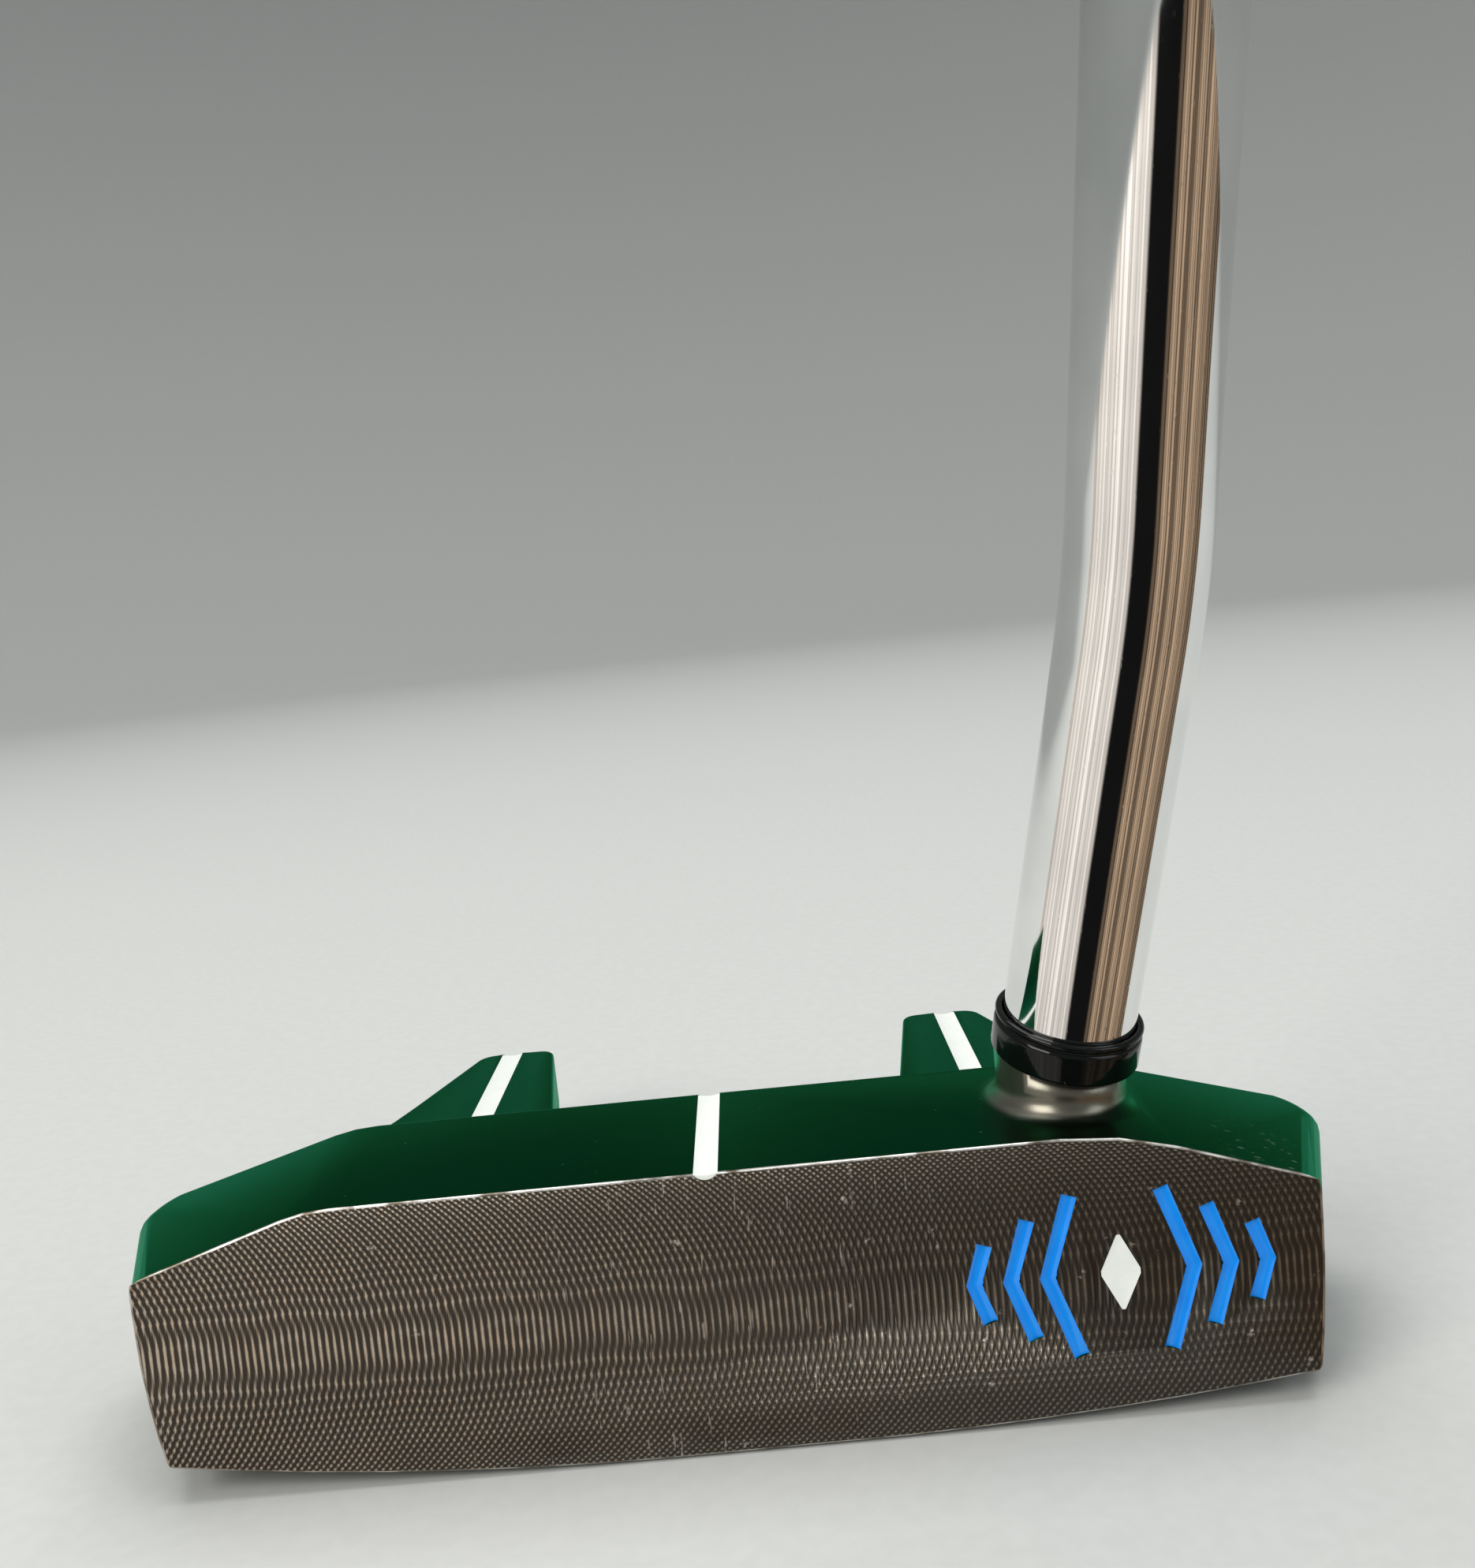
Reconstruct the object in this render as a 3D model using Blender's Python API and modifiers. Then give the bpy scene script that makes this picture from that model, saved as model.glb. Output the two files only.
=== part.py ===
"""Compact fanged mallet putter with a double-bend shaft, standing at address.

Frame: +X runs from toe to heel, +Y runs back from the striking face, +Z is up.
The origin is on the flat of the sole, below the sight line, where the head rests.
Lengths are in metres; MM turns millimetres into them.
"""

import math

import bmesh
import bpy
from mathutils import Matrix, Vector

MM = 0.001

# Clearances: neighbouring solids never touch
SEAT_GAP = 0.3 * MM  # between pieces that seat on or in each other
PAINT_GAP = 0.2 * MM  # between a paint fill and the wall of its groove

# Striking face and bar
LOFT = math.radians(3.5)
FACE_SETBACK = 9.0 * MM  # from the leading edge back to the origin
TOP_HEIGHT = 21.65 * MM  # of the top edge of the face above the sole
TOP_RISE = 0.033  # the top climbs this much per unit of depth
FLAT_TOP_TOE = 30.45 * MM  # from the sight line to the toe shoulder
FLAT_TOP_HEEL = 31.0 * MM
TOE_SHOULDER_SLOPE = 0.312
HEEL_SHOULDER_SLOPE = 0.325
TOE_SHOULDER_BLEND = 13.0 * MM
HEEL_SHOULDER_BLEND = 28.0 * MM
TOE_REACH = 43.8 * MM  # from the sight line to the toe at the leading edge
HEEL_REACH = 45.2 * MM
END_FLARE = 0.37  # the ends widen this much per unit of depth
END_BELLY = 13.0 * MM  # height at which the ends are widest
TOE_TUCK = 1.6 * MM  # how far the toe draws in, from there to the sole
HEEL_TUCK = 0.95 * MM
BAR_DEPTH = 17.65 * MM  # leading edge to the back of the flat top
BACK_SLOPE = 0.33  # the back wall reaches further back, going down
BAR_CORNER = 3.0 * MM

# Sole: a flat pad with a long camber on each side
SOLE_FLAT_TOE = 4.0 * MM
SOLE_FLAT_HEEL = 8.0 * MM
SOLE_CAMBER_TOE = 268.0 * MM
SOLE_CAMBER_HEEL = 308.0 * MM

# Fangs
HEAD_DEPTH = 71.1 * MM  # leading edge to the fang tips
FANG_TOP = 11.0 * MM
FANG_GAP = 43.0 * MM  # clear width between the fang tips
FANG_TIP_WIDTH = 8.6 * MM
FANG_SPREAD = FANG_GAP / 2.0 + 14.8 * MM  # from the sight line to the outer edge's bend
FANG_WAIST = FANG_GAP / 2.0 - 2.6 * MM  # from the sight line to the inner edge's bend
BEND_DEPTH = 0.71 * HEAD_DEPTH  # leading edge to both bends
THROAT_HALF = FANG_GAP / 2.0 - 6.5 * MM  # half width of the gap where it ends behind the bar
THROAT_DEPTH = 24.5 * MM  # from the leading edge to the front of the gap
THROAT_CORNER = 8.0 * MM
FANG_KNEE_BLEND = 80.0 * MM
FANG_WAIST_BLEND = 60.0 * MM
FANG_TIP_CORNERS = (2.4 * MM, 1.8 * MM)  # outer and inner
FANG_ROOT_INSET = 1.7 * MM  # of a fang's outer edge from the corner of the bar
FANG_ROOT_LAP = 3.3 * MM  # how far a fang's outer edge runs into the bar
FANG_ROOT_RUN = Vector((8.0 * MM, 3.0 * MM))  # further into the bar, out of sight
FANG_RISE = 0.08  # the underside climbs this much per unit of depth behind the bar
RELIEF_HEIGHT = 7.6 * MM  # roof of the pocket milled up into each fang
RELIEF_WALL = 2.8 * MM  # left along that pocket's inner side
RELIEF_OUTER_WALL = 1.6  # share of RELIEF_WALL left where the fang meets the bar
RELIEF_TIP_WALL = 2.2
RELIEF_CORNERS = (2.0 * MM, 1.2 * MM)  # near the bar and at the tip
RELIEF_BLEND = 40.0 * MM

# Paint-filled alignment lines
SIGHT_WIDTH = 1.9 * MM
FANG_LINE_WIDTH = 2.45 * MM
FANG_LINE_OFFSET = FANG_GAP / 2.0 + 4.95 * MM  # from the sight line
LINE_DEPTH = 0.55 * MM
LINE_INSET = 0.35 * MM  # from a fill's end to the edge of the surface that it is in
FANG_LINE_START = 27.0 * MM  # depth behind the leading edge where these lines begin

# Paint-filled ornament on the face: chevrons each side of a lozenge
BADGE_CENTRE = (30.2 * MM, 0.517 * TOP_HEIGHT)  # across and up the face
BADGE_WIDTH = 1.25 * MM
BADGE_DEPTH = 0.5 * MM
CHEVRON_PITCH = 3.3 * MM
CHEVRON_FIRST = 3.4 * MM  # from the centre to the tip of the nearest chevron
CHEVRON_HEIGHTS = (0.573 * TOP_HEIGHT, 0.425 * TOP_HEIGHT, 0.277 * TOP_HEIGHT)
CHEVRON_SWEEP = 0.34  # how far an arm leans back, for its length upwards
LOZENGE = (3.2 * MM, 6.4 * MM)  # width and height of the white centre
LOZENGE_CORNER = 0.25 * MM

# Hosel, ferrule and shaft
HOSEL_DEPTH = 0.586 * BAR_DEPTH  # leading edge to the shaft's axis, at the neck's foot
HOSEL_FOOT = Vector((28.25 * MM, HOSEL_DEPTH - FACE_SETBACK, TOP_HEIGHT + 0.35 * MM))
TIP_LEAN = Vector((0.166, -0.216, 1.0))  # direction of the shaft below its first bend
MID_LEAN = Vector((0.053, -0.231, 1.0))  # between the two bends
LIE = math.radians(70.0)  # of the long upper shaft, seen from in front of the face
SHAFT_RADIUS = 5.15 * MM
SHAFT_WALL = 0.45 * MM
NECK_RADIUS = SHAFT_RADIUS - 0.05 * MM
NECK_FILLET = 1.8 * MM
NECK_HEIGHT = 3.5 * MM  # above HOSEL_FOOT, along the shaft's axis
NECK_EMBED = 0.06 * MM  # of the fillet's rim below the top
FERRULE_RADIUS = SHAFT_RADIUS + 0.63 * MM
FERRULE_HEIGHT = 3.45 * MM
FERRULE_FLOOR = 1.3 * MM  # the flange that the shaft's tip stands on
FERRULE_RIM = 0.12 * MM  # rounding of its top edge
FERRULE_CHAMFER = 0.35 * MM  # of its bottom edge
POST_LENGTH = 21.0 * MM
POST_CHAMFER = 0.6 * MM
GLUE_DEPTH = 0.8 * MM  # recess round the post that holds the adhesive
GLUE_LENGTH = 13.0 * MM
GLUE_START = 4.5 * MM  # from the post's foot to the recess
FIRST_BEND_HEIGHT = TOP_HEIGHT + 40.45 * MM
SECOND_BEND_HEIGHT = FIRST_BEND_HEIGHT + 59.9 * MM
BEND_RADIUS = 110.0 * MM
CLUB_LENGTH = 863.6 * MM  # along the upper shaft's axis, from the ground to the butt
SHAFT_STEPS = 7
STEP_RISE = 0.31 * MM  # gain in radius at each step
STEP_PITCH = 34.0 * MM
STEP_CONE = 1.5 * MM
STEP_TO_GRIP = 92.6 * MM  # bare shaft between the last step and the grip

# Grip
GRIP_LENGTH = 267.0 * MM
GRIP_WALL = 1.68 * MM  # at the mouth
GRIP_BUTT_WIDTH = 27.5 * MM
GRIP_BUTT_DEPTH = 27.0 * MM
GRIP_FLAT = 0.22  # share of the half depth that the thumb flat takes off
GRIP_FLAT_CROWN = 0.12
TAPE_THICKNESS = 0.3 * MM
TAPE_INSET = 6.0 * MM
CAP_THICKNESS = 2.6 * MM
CAP_EDGE = 0.9 * MM  # of the grip's end left showing round the cap, at the flat
CAP_SPIGOT = 9.0 * MM
CAP_SIDE = 0.45  # share of the thickness that is a straight side, below the dome
CAP_ROUND = 0.8  # share of the thickness that the dome rounds off the edge
VENT_RADIUS = 1.5 * MM

# Sole weights
WEIGHT_OFFSET = 33.0 * MM  # either side of the sight line
WEIGHT_RADIUS = 6.0 * MM
WEIGHT_HEAD = 3.2 * MM
WEIGHT_STUD_RADIUS = 3.0 * MM
WEIGHT_STUD = 4.0 * MM
WEIGHT_RECESS = 0.35 * MM  # below the sole at the port
WASHER_THICKNESS = 0.8 * MM
SOCKET_RADIUS = 2.0 * MM
SOCKET_DEPTH = 1.8 * MM
SOCKET_LOBES = 6
SOCKET_WAVE = 0.14  # depth of a lobe, as a share of the radius
WEIGHT_EDGE = 0.4 * MM  # chamfers of the weight, and the washer's margin

ROUND_STEPS = 32
ARC_STEP = math.radians(12.0)
END_STEPS = 5  # level sections through the curved part of the bar's ends
NECK_STEPS = 40
BIG = 160.0 * MM  # reach of cutters past the work
PAST = 5.0 * MM  # how far a cutter or a buried end runs past a surface


# Scene and materials

def clear_scene():
    for obj in list(bpy.data.objects):
        bpy.data.objects.remove(obj, do_unlink=True)


def collection(name, shown=True):
    made = bpy.data.collections.new(name)
    made.hide_render = not shown
    bpy.context.scene.collection.children.link(made)
    return made


def material(name, colour, metallic, roughness):
    made = bpy.data.materials.new(name)
    made.use_nodes = True
    shader = made.node_tree.nodes["Principled BSDF"]
    shader.inputs["Base Color"].default_value = (*colour, 1.0)
    shader.inputs["Metallic"].default_value = metallic
    shader.inputs["Roughness"].default_value = roughness
    made.diffuse_color = (*colour, 1.0)
    return made


def place(obj, group, finish=None):
    for old in list(obj.users_collection):
        old.objects.unlink(obj)
    group.objects.link(obj)
    if finish is not None:
        obj.data.materials.clear()
        obj.data.materials.append(finish)
    return obj


def as_helper(obj):
    obj.hide_render = True
    obj.display_type = "WIRE"
    return place(obj, HELPERS)


# Shapes

def unit(vector):
    return vector.normalized()


def rounded_outline(corners):
    """Points of a closed outline whose corners (x, y, radius) are rounded to arcs."""
    points = []
    count = len(corners)
    for i, (x, y, radius) in enumerate(corners):
        corner = Vector((x, y))
        before = unit(Vector(corners[i - 1][:2]) - corner)
        after = unit(Vector(corners[(i + 1) % count][:2]) - corner)
        opening = before.angle(after)
        if radius <= 0.0 or opening > math.radians(179.5):
            points.append(corner)
            continue
        turn = math.pi - opening
        centre = corner + unit(before + after) * radius / math.sin(opening / 2.0)
        start = corner + before * radius / math.tan(opening / 2.0) - centre
        side = 1.0 if before.x * after.y - before.y * after.x < 0.0 else -1.0
        pieces = max(2, math.ceil(turn / ARC_STEP))
        for k in range(pieces + 1):
            angle = side * turn * k / pieces
            spun = Matrix.Rotation(angle, 2) @ start
            points.append(centre + spun)
    return points


def slab(name, outline, low, high, matrix=None):
    """A mesh prism: a filled flat curve from outline, reaching from low to high."""
    curve = bpy.data.curves.new(name, "CURVE")
    curve.dimensions = "2D"
    curve.fill_mode = "BOTH"
    curve.extrude = (high - low) / 2.0
    spline = curve.splines.new("POLY")
    spline.points.add(len(outline) - 1)
    for point, position in zip(spline.points, outline):
        point.co = (position[0], position[1], 0.0, 1.0)
    spline.use_cyclic_u = True
    source = bpy.data.objects.new(name, curve)
    bpy.context.scene.collection.objects.link(source)
    moved = Matrix.Translation((0.0, 0.0, (low + high) / 2.0))
    if matrix is not None:
        moved = matrix @ moved
    return meshed(source, moved)


def meshed(source, matrix):
    """Swap a curve object for a welded mesh object with matrix applied to its points."""
    name = source.name
    graph = bpy.context.evaluated_depsgraph_get()
    mesh = bpy.data.meshes.new_from_object(source.evaluated_get(graph))
    bpy.data.objects.remove(source, do_unlink=True)
    obj = bpy.data.objects.new(name, mesh)
    bpy.context.scene.collection.objects.link(obj)
    mesh.transform(matrix)
    weld(mesh)
    return obj


def weld(mesh):
    work = bmesh.new()
    work.from_mesh(mesh)
    bmesh.ops.remove_doubles(work, verts=work.verts, dist=0.000002)
    bmesh.ops.recalc_face_normals(work, faces=work.faces)
    work.to_mesh(mesh)
    work.free()


def turned(name, profile, matrix, steps=ROUND_STEPS):
    """A body of revolution: profile is (radius, height) pairs, listed from the top down."""
    mesh = bpy.data.meshes.new(name)
    points = [(radius, 0.0, height) for radius, height in profile]
    closed = profile[0][0] > 0.0
    edges = [(i, i + 1) for i in range(len(points) - 1)]
    if closed:
        edges.append((len(points) - 1, 0))
    mesh.from_pydata(points, edges, [])
    obj = bpy.data.objects.new(name, mesh)
    bpy.context.scene.collection.objects.link(obj)
    obj.matrix_world = matrix
    screw = obj.modifiers.new("Turn", "SCREW")
    screw.steps = steps
    screw.render_steps = steps
    screw.axis = "Z"
    screw.use_merge_vertices = True
    screw.merge_threshold = 0.00001
    screw.use_smooth_shade = True
    return obj


def lofted(name, rings, closed_ends=True):
    """A skin through rings of equal length, from bottom to top, closed by flat ends."""
    work = bmesh.new()
    rows = [[work.verts.new(point) for point in ring] for ring in rings]
    count = len(rows[0])
    for lower, upper in zip(rows, rows[1:]):
        for k in range(count):
            n = (k + 1) % count
            work.faces.new((lower[k], lower[n], upper[n], upper[k]))
    if closed_ends:
        work.faces.new(list(reversed(rows[0])))
        work.faces.new(rows[-1])
    else:
        for k in range(count):
            n = (k + 1) % count
            work.faces.new((rows[-1][k], rows[-1][n], rows[0][n], rows[0][k]))
    bmesh.ops.recalc_face_normals(work, faces=work.faces)
    mesh = bpy.data.meshes.new(name)
    work.to_mesh(mesh)
    work.free()
    obj = bpy.data.objects.new(name, mesh)
    bpy.context.scene.collection.objects.link(obj)
    return obj


def tube(name, points, radius, sides_level=2):
    """A closed round bar along points, with rounded joints left as they bend."""
    curve = bpy.data.curves.new(name, "CURVE")
    curve.dimensions = "3D"
    curve.bevel_depth = radius
    curve.bevel_resolution = sides_level
    curve.use_fill_caps = True
    spline = curve.splines.new("POLY")
    spline.points.add(len(points) - 1)
    for point, position in zip(spline.points, points):
        point.co = (*position, 1.0)
    source = bpy.data.objects.new(name, curve)
    bpy.context.scene.collection.objects.link(source)
    return meshed(source, Matrix.Identity(4))


def block_above(name, frame, length):
    """A square block standing on a frame's XY plane."""
    bpy.ops.mesh.primitive_cube_add(size=1.0)
    block = bpy.context.object
    block.name = name
    block.data.transform(Matrix.Translation((0.0, 0.0, 0.5)))
    block.data.transform(Matrix.Diagonal((BIG, BIG, length, 1.0)))
    block.data.transform(frame)
    return block


def combine(obj, other, operation):
    change = obj.modifiers.new(f"{operation.title()} {other.name}", "BOOLEAN")
    change.operation = operation
    change.solver = "EXACT"
    change.object = other
    return change


def cut(obj, *cutters):
    for cutter in cutters:
        combine(obj, as_helper(cutter), "DIFFERENCE")


def join(obj, *additions):
    for addition in additions:
        combine(obj, as_helper(addition), "UNION")


def keep_inside(obj, *limits):
    for limit in limits:
        combine(obj, as_helper(limit), "INTERSECT")


# Where things are

def depth_to_y(depth):
    """The Y of a depth that is counted back from the leading edge."""
    return depth - FACE_SETBACK


def face_frame():
    """Face coordinates: X across, Y up the face, Z out of it, origin on the leading edge."""
    across = Vector((1.0, 0.0, 0.0))
    up = Vector((0.0, math.sin(LOFT), math.cos(LOFT)))
    out = across.cross(up)
    frame = Matrix((across, up, out)).transposed().to_4x4()
    frame.translation = Vector((0.0, -FACE_SETBACK, 0.0))
    return frame


def axis_frame(origin, direction):
    """Z along direction, X kept as near to +X as it goes."""
    z = unit(direction)
    y = unit(z.cross(Vector((1.0, 0.0, 0.0))))
    x = y.cross(z)
    frame = Matrix((x, y, z)).transposed().to_4x4()
    frame.translation = origin
    return frame


def top_outline():
    """The bar seen from in front: flat top between two sloping shoulders."""
    toe_drop = (BIG - FLAT_TOP_TOE) * TOE_SHOULDER_SLOPE
    heel_drop = (BIG - FLAT_TOP_HEEL) * HEEL_SHOULDER_SLOPE
    return rounded_outline([
        (-BIG, -BIG, 0.0),
        (BIG, -BIG, 0.0),
        (BIG, TOP_HEIGHT - heel_drop, 0.0),
        (FLAT_TOP_HEEL, TOP_HEIGHT, HEEL_SHOULDER_BLEND),
        (-FLAT_TOP_TOE, TOP_HEIGHT, TOE_SHOULDER_BLEND),
        (-BIG, TOP_HEIGHT - toe_drop, 0.0),
    ])


def top_height(x, y):
    """Height of the bar's top surface over (x, y)."""
    crown = sorted((p for p in top_outline() if p.y > -BIG / 2.0), key=lambda p: p.x)
    for left, right in zip(crown, crown[1:]):
        if left.x <= x <= right.x:
            share = (x - left.x) / (right.x - left.x)
            level = left.y + share * (right.y - left.y)
            return level + TOP_RISE * (y - face_top_y())
    raise ValueError("x is past the head")


def face_top_y():
    return -FACE_SETBACK + TOP_HEIGHT * math.tan(LOFT)


def sole_height(x):
    """Height of the cambered sole at x."""
    if x > SOLE_FLAT_HEEL:
        return (x - SOLE_FLAT_HEEL) ** 2 / (2.0 * SOLE_CAMBER_HEEL)
    if x < -SOLE_FLAT_TOE:
        return (x + SOLE_FLAT_TOE) ** 2 / (2.0 * SOLE_CAMBER_TOE)
    return 0.0


def sole_outline():
    """The sole seen from in front, closed well above the head."""
    span = 60.0 * MM
    pieces = 10
    points = [(span, BIG), (-span, BIG)]
    for k in range(pieces, -1, -1):
        x = -SOLE_FLAT_TOE - (span - SOLE_FLAT_TOE) * k / pieces
        points.append((x, sole_height(x)))
    for k in range(pieces + 1):
        x = SOLE_FLAT_HEEL + (span - SOLE_FLAT_HEEL) * k / pieces
        points.append((x, sole_height(x)))
    return points


def bar_back(height):
    """How far back the bar reaches at a height: its back wall slopes down to the fangs."""
    top = TOP_HEIGHT + TOP_RISE * BAR_DEPTH
    return depth_to_y(BAR_DEPTH) + BACK_SLOPE * (top - max(height, FANG_TOP))


def end_reach(reach, tuck, height):
    """Half length of the bar at the leading edge, towards one end, at a height."""
    share = max(0.0, END_BELLY - height) / END_BELLY
    return reach - tuck * share * share


def bar_ring(height):
    """The bar's outline seen from above, at one height."""
    front = -FACE_SETBACK - PAST
    back = bar_back(height)
    toe = end_reach(TOE_REACH, TOE_TUCK, height)
    heel = end_reach(HEEL_REACH, HEEL_TUCK, height)
    front_flare = END_FLARE * (front + FACE_SETBACK)
    back_flare = END_FLARE * (back + FACE_SETBACK)
    outline = rounded_outline([
        (-toe - front_flare, front, 0.0),
        (heel + front_flare, front, 0.0),
        (heel + back_flare, back, BAR_CORNER),
        (-toe - back_flare, back, BAR_CORNER),
    ])
    return [Vector((point.x, point.y, height)) for point in outline]


def root_corner(reach):
    """Where a fang's outer edge starts, inside the corner of the bar: (x, y) for +X."""
    back = bar_back(FANG_TOP)
    corner = reach + END_FLARE * (back + FACE_SETBACK)
    return corner - FANG_ROOT_INSET, back - FANG_ROOT_LAP


def fang_side(reach):
    """Corners of one fang in plan, from the outer root to the throat, for +X."""
    tip = depth_to_y(HEAD_DEPTH)
    inner_tip = FANG_GAP / 2.0
    root_x, root_y = root_corner(reach)
    return [
        (root_x - FANG_ROOT_RUN.x, root_y - FANG_ROOT_RUN.y, 0.0),
        (root_x, root_y, 0.0),
        (FANG_SPREAD, depth_to_y(BEND_DEPTH), FANG_KNEE_BLEND),
        (inner_tip + FANG_TIP_WIDTH, tip, FANG_TIP_CORNERS[0]),
        (inner_tip, tip, FANG_TIP_CORNERS[1]),
        (FANG_WAIST, depth_to_y(BEND_DEPTH), FANG_WAIST_BLEND),
        (THROAT_HALF, depth_to_y(THROAT_DEPTH), THROAT_CORNER),
    ]


def fang_outline():
    heel = fang_side(HEEL_REACH)
    toe = [(-x, y, radius) for x, y, radius in reversed(fang_side(TOE_REACH))]
    return rounded_outline(heel + toe)


def shaft_path():
    """Centre line of the shaft from its tip to the butt, with both bends as arcs."""
    tip = ferrule_frame() @ Vector((0.0, 0.0, FERRULE_FLOOR + SEAT_GAP))
    first = HOSEL_FOOT + TIP_LEAN * (FIRST_BEND_HEIGHT - HOSEL_FOOT.z)
    second = first + MID_LEAN * (SECOND_BEND_HEIGHT - FIRST_BEND_HEIGHT)
    upper = Vector((math.cos(LIE), 0.0, math.sin(LIE)))
    ground = second - upper * (second.z / upper.z)
    butt = ground + upper * CLUB_LENGTH
    return tip, first, second, butt


def bend(before, corner, after, radius):
    """Points of the arc that rounds corner."""
    inward = unit(before - corner)
    outward = unit(after - corner)
    opening = inward.angle(outward)
    centre = corner + unit(inward + outward) * radius / math.sin(opening / 2.0)
    start = corner + inward * radius / math.tan(opening / 2.0) - centre
    axis = unit(start.cross(corner + outward * radius / math.tan(opening / 2.0) - centre))
    turn = math.pi - opening
    pieces = max(4, math.ceil(turn / math.radians(2.2)))
    arc = []
    for k in range(pieces + 1):
        arc.append(centre + Matrix.Rotation(turn * k / pieces, 3, axis) @ start)
    return arc


def seat_frame():
    """Top of the neck, square to the shaft's axis: where the ferrule sits."""
    return axis_frame(HOSEL_FOOT + unit(TIP_LEAN) * NECK_HEIGHT, TIP_LEAN)


def ferrule_frame():
    return seat_frame() @ Matrix.Translation((0.0, 0.0, SEAT_GAP))


def bore_radius(radius):
    return radius - SHAFT_WALL


def post_radius():
    return bore_radius(SHAFT_RADIUS) - SEAT_GAP


def butt_radius():
    return SHAFT_RADIUS + SHAFT_STEPS * STEP_RISE


def upper_frame(distance):
    """A frame on the upper shaft's axis, distance above the ground, Z towards the butt."""
    butt = shaft_path()[3]
    upper = Vector((math.cos(LIE), 0.0, math.sin(LIE)))
    return axis_frame(butt - upper * (CLUB_LENGTH - distance), upper)


# Head

def bar():
    """The bar before its top, sole and face are cut: level sections, lofted."""
    curved = [END_BELLY * (k + 1) / END_STEPS for k in range(END_STEPS)]
    levels = sorted([-PAST, *curved, FANG_TOP, TOP_HEIGHT + 2.0 * PAST])
    return lofted("head_body", [bar_ring(level) for level in levels])


def shear_up(slope, pivot_y):
    """Raises every point by slope for each unit that it lies behind pivot_y."""
    matrix = Matrix.Identity(4)
    matrix[2][1] = slope
    matrix[2][3] = -slope * pivot_y
    return matrix


STAND_UP = Matrix.Rotation(math.radians(90.0), 4, "X")  # plan XY to elevation XZ


def front_elevation(name, outline, matrix=None):
    """A prism whose outline is drawn from in front and which runs through the head."""
    turned_up = STAND_UP if matrix is None else matrix @ STAND_UP
    return slab(name, outline, -BIG, BIG, turned_up)


def fangs():
    body = slab("fangs", fang_outline(), -PAST, FANG_TOP)
    level = front_elevation("fang_sole_level", sole_outline())
    rising = shear_up(FANG_RISE, bar_back(FANG_TOP))
    rise = front_elevation("fang_sole_rise", sole_outline(), rising)
    keep_inside(body, level, rise)
    return body


def neck():
    """The boss that carries the shaft: upright, filleted into the top, cut square to the shaft."""
    seat = seat_frame()
    normal = seat.to_3x3() @ Vector((0.0, 0.0, 1.0))
    centre = (seat.translation + HOSEL_FOOT) / 2.0
    steps = 8
    rings = []
    for level in range(-1, steps + 2):
        ring = []
        for k in range(NECK_STEPS):
            angle = 2.0 * math.pi * k / NECK_STEPS
            out = Vector((math.cos(angle), math.sin(angle), 0.0))
            foot = centre + out * (NECK_RADIUS + NECK_FILLET)
            floor = top_height(foot.x, foot.y) - NECK_EMBED
            if level < 0:
                point = foot.copy()
                point.z = floor - PAST
            elif level <= steps:
                angle_up = math.radians(90.0) * level / steps
                radius = NECK_RADIUS + NECK_FILLET * (1.0 - math.sin(angle_up))
                point = centre + out * radius
                point.z = floor + NECK_FILLET * (1.0 - math.cos(angle_up))
            else:
                point = centre + out * NECK_RADIUS
                offset = seat.translation - point
                point.z += offset.dot(normal) / normal.z
            ring.append(point)
        rings.append(ring)
    return lofted("neck", rings)


def post():
    """The pin inside the shaft, with a waist that holds the adhesive."""
    outer = post_radius()
    waist = outer - GLUE_DEPTH
    profile = [
        (0.0, POST_LENGTH),
        (outer - POST_CHAMFER, POST_LENGTH),
        (outer, POST_LENGTH - POST_CHAMFER),
        (outer, GLUE_START + GLUE_LENGTH),
        (waist, GLUE_START + GLUE_LENGTH),
        (waist, GLUE_START),
        (outer, GLUE_START),
        (outer, -PAST),
        (0.0, -PAST),
    ]
    return turned("post", profile, seat_frame())


def line_groove(name, width, x, start_y, end_y, surface, slope):
    """A round-bottomed groove along Y; surface is the height at start_y."""
    radius = groove_radius(width)
    lift = radius - LINE_DEPTH
    start = Vector((x, start_y, surface + lift))
    end = Vector((x, end_y, surface + lift + slope * (end_y - start_y)))
    return tube(name, [start, end], radius, 6)


def groove_radius(width):
    return (width * width / 4.0 + LINE_DEPTH * LINE_DEPTH) / (2.0 * LINE_DEPTH)


def line_fill(name, width, x, start_y, end_y, surface, slope):
    """The paint in a groove: the groove's round bar, smaller by the gap and cut flush."""
    radius = groove_radius(width) - PAINT_GAP
    lift = groove_radius(width) - LINE_DEPTH
    start = Vector((x, start_y, surface + lift))
    end = Vector((x, end_y, surface + lift + slope * (end_y - start_y)))
    fill = tube(name, [start, end], radius, 6)
    tilt = Matrix.Rotation(math.atan(slope), 4, "X")
    level = Matrix.Translation((x, start_y, surface)) @ tilt
    cut(fill, block_above(f"{name}_lid", level, 2.0 * PAST))
    return fill


def chevron_path(side, rank):
    """Points of one chevron in face coordinates; side is +1 towards the heel."""
    half = CHEVRON_HEIGHTS[rank] / 2.0
    tip = side * (CHEVRON_FIRST + CHEVRON_PITCH * rank + CHEVRON_SWEEP * half)
    arm = tip - side * CHEVRON_SWEEP * half
    x, y = BADGE_CENTRE
    return [(x + arm, y - half), (x + tip, y), (x + arm, y + half)]


def badge_bar(name, path, radius, lift):
    frame = face_frame()
    points = [frame @ Vector((x, y, lift)) for x, y in path]
    return tube(name, points, radius, 3)


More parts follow.
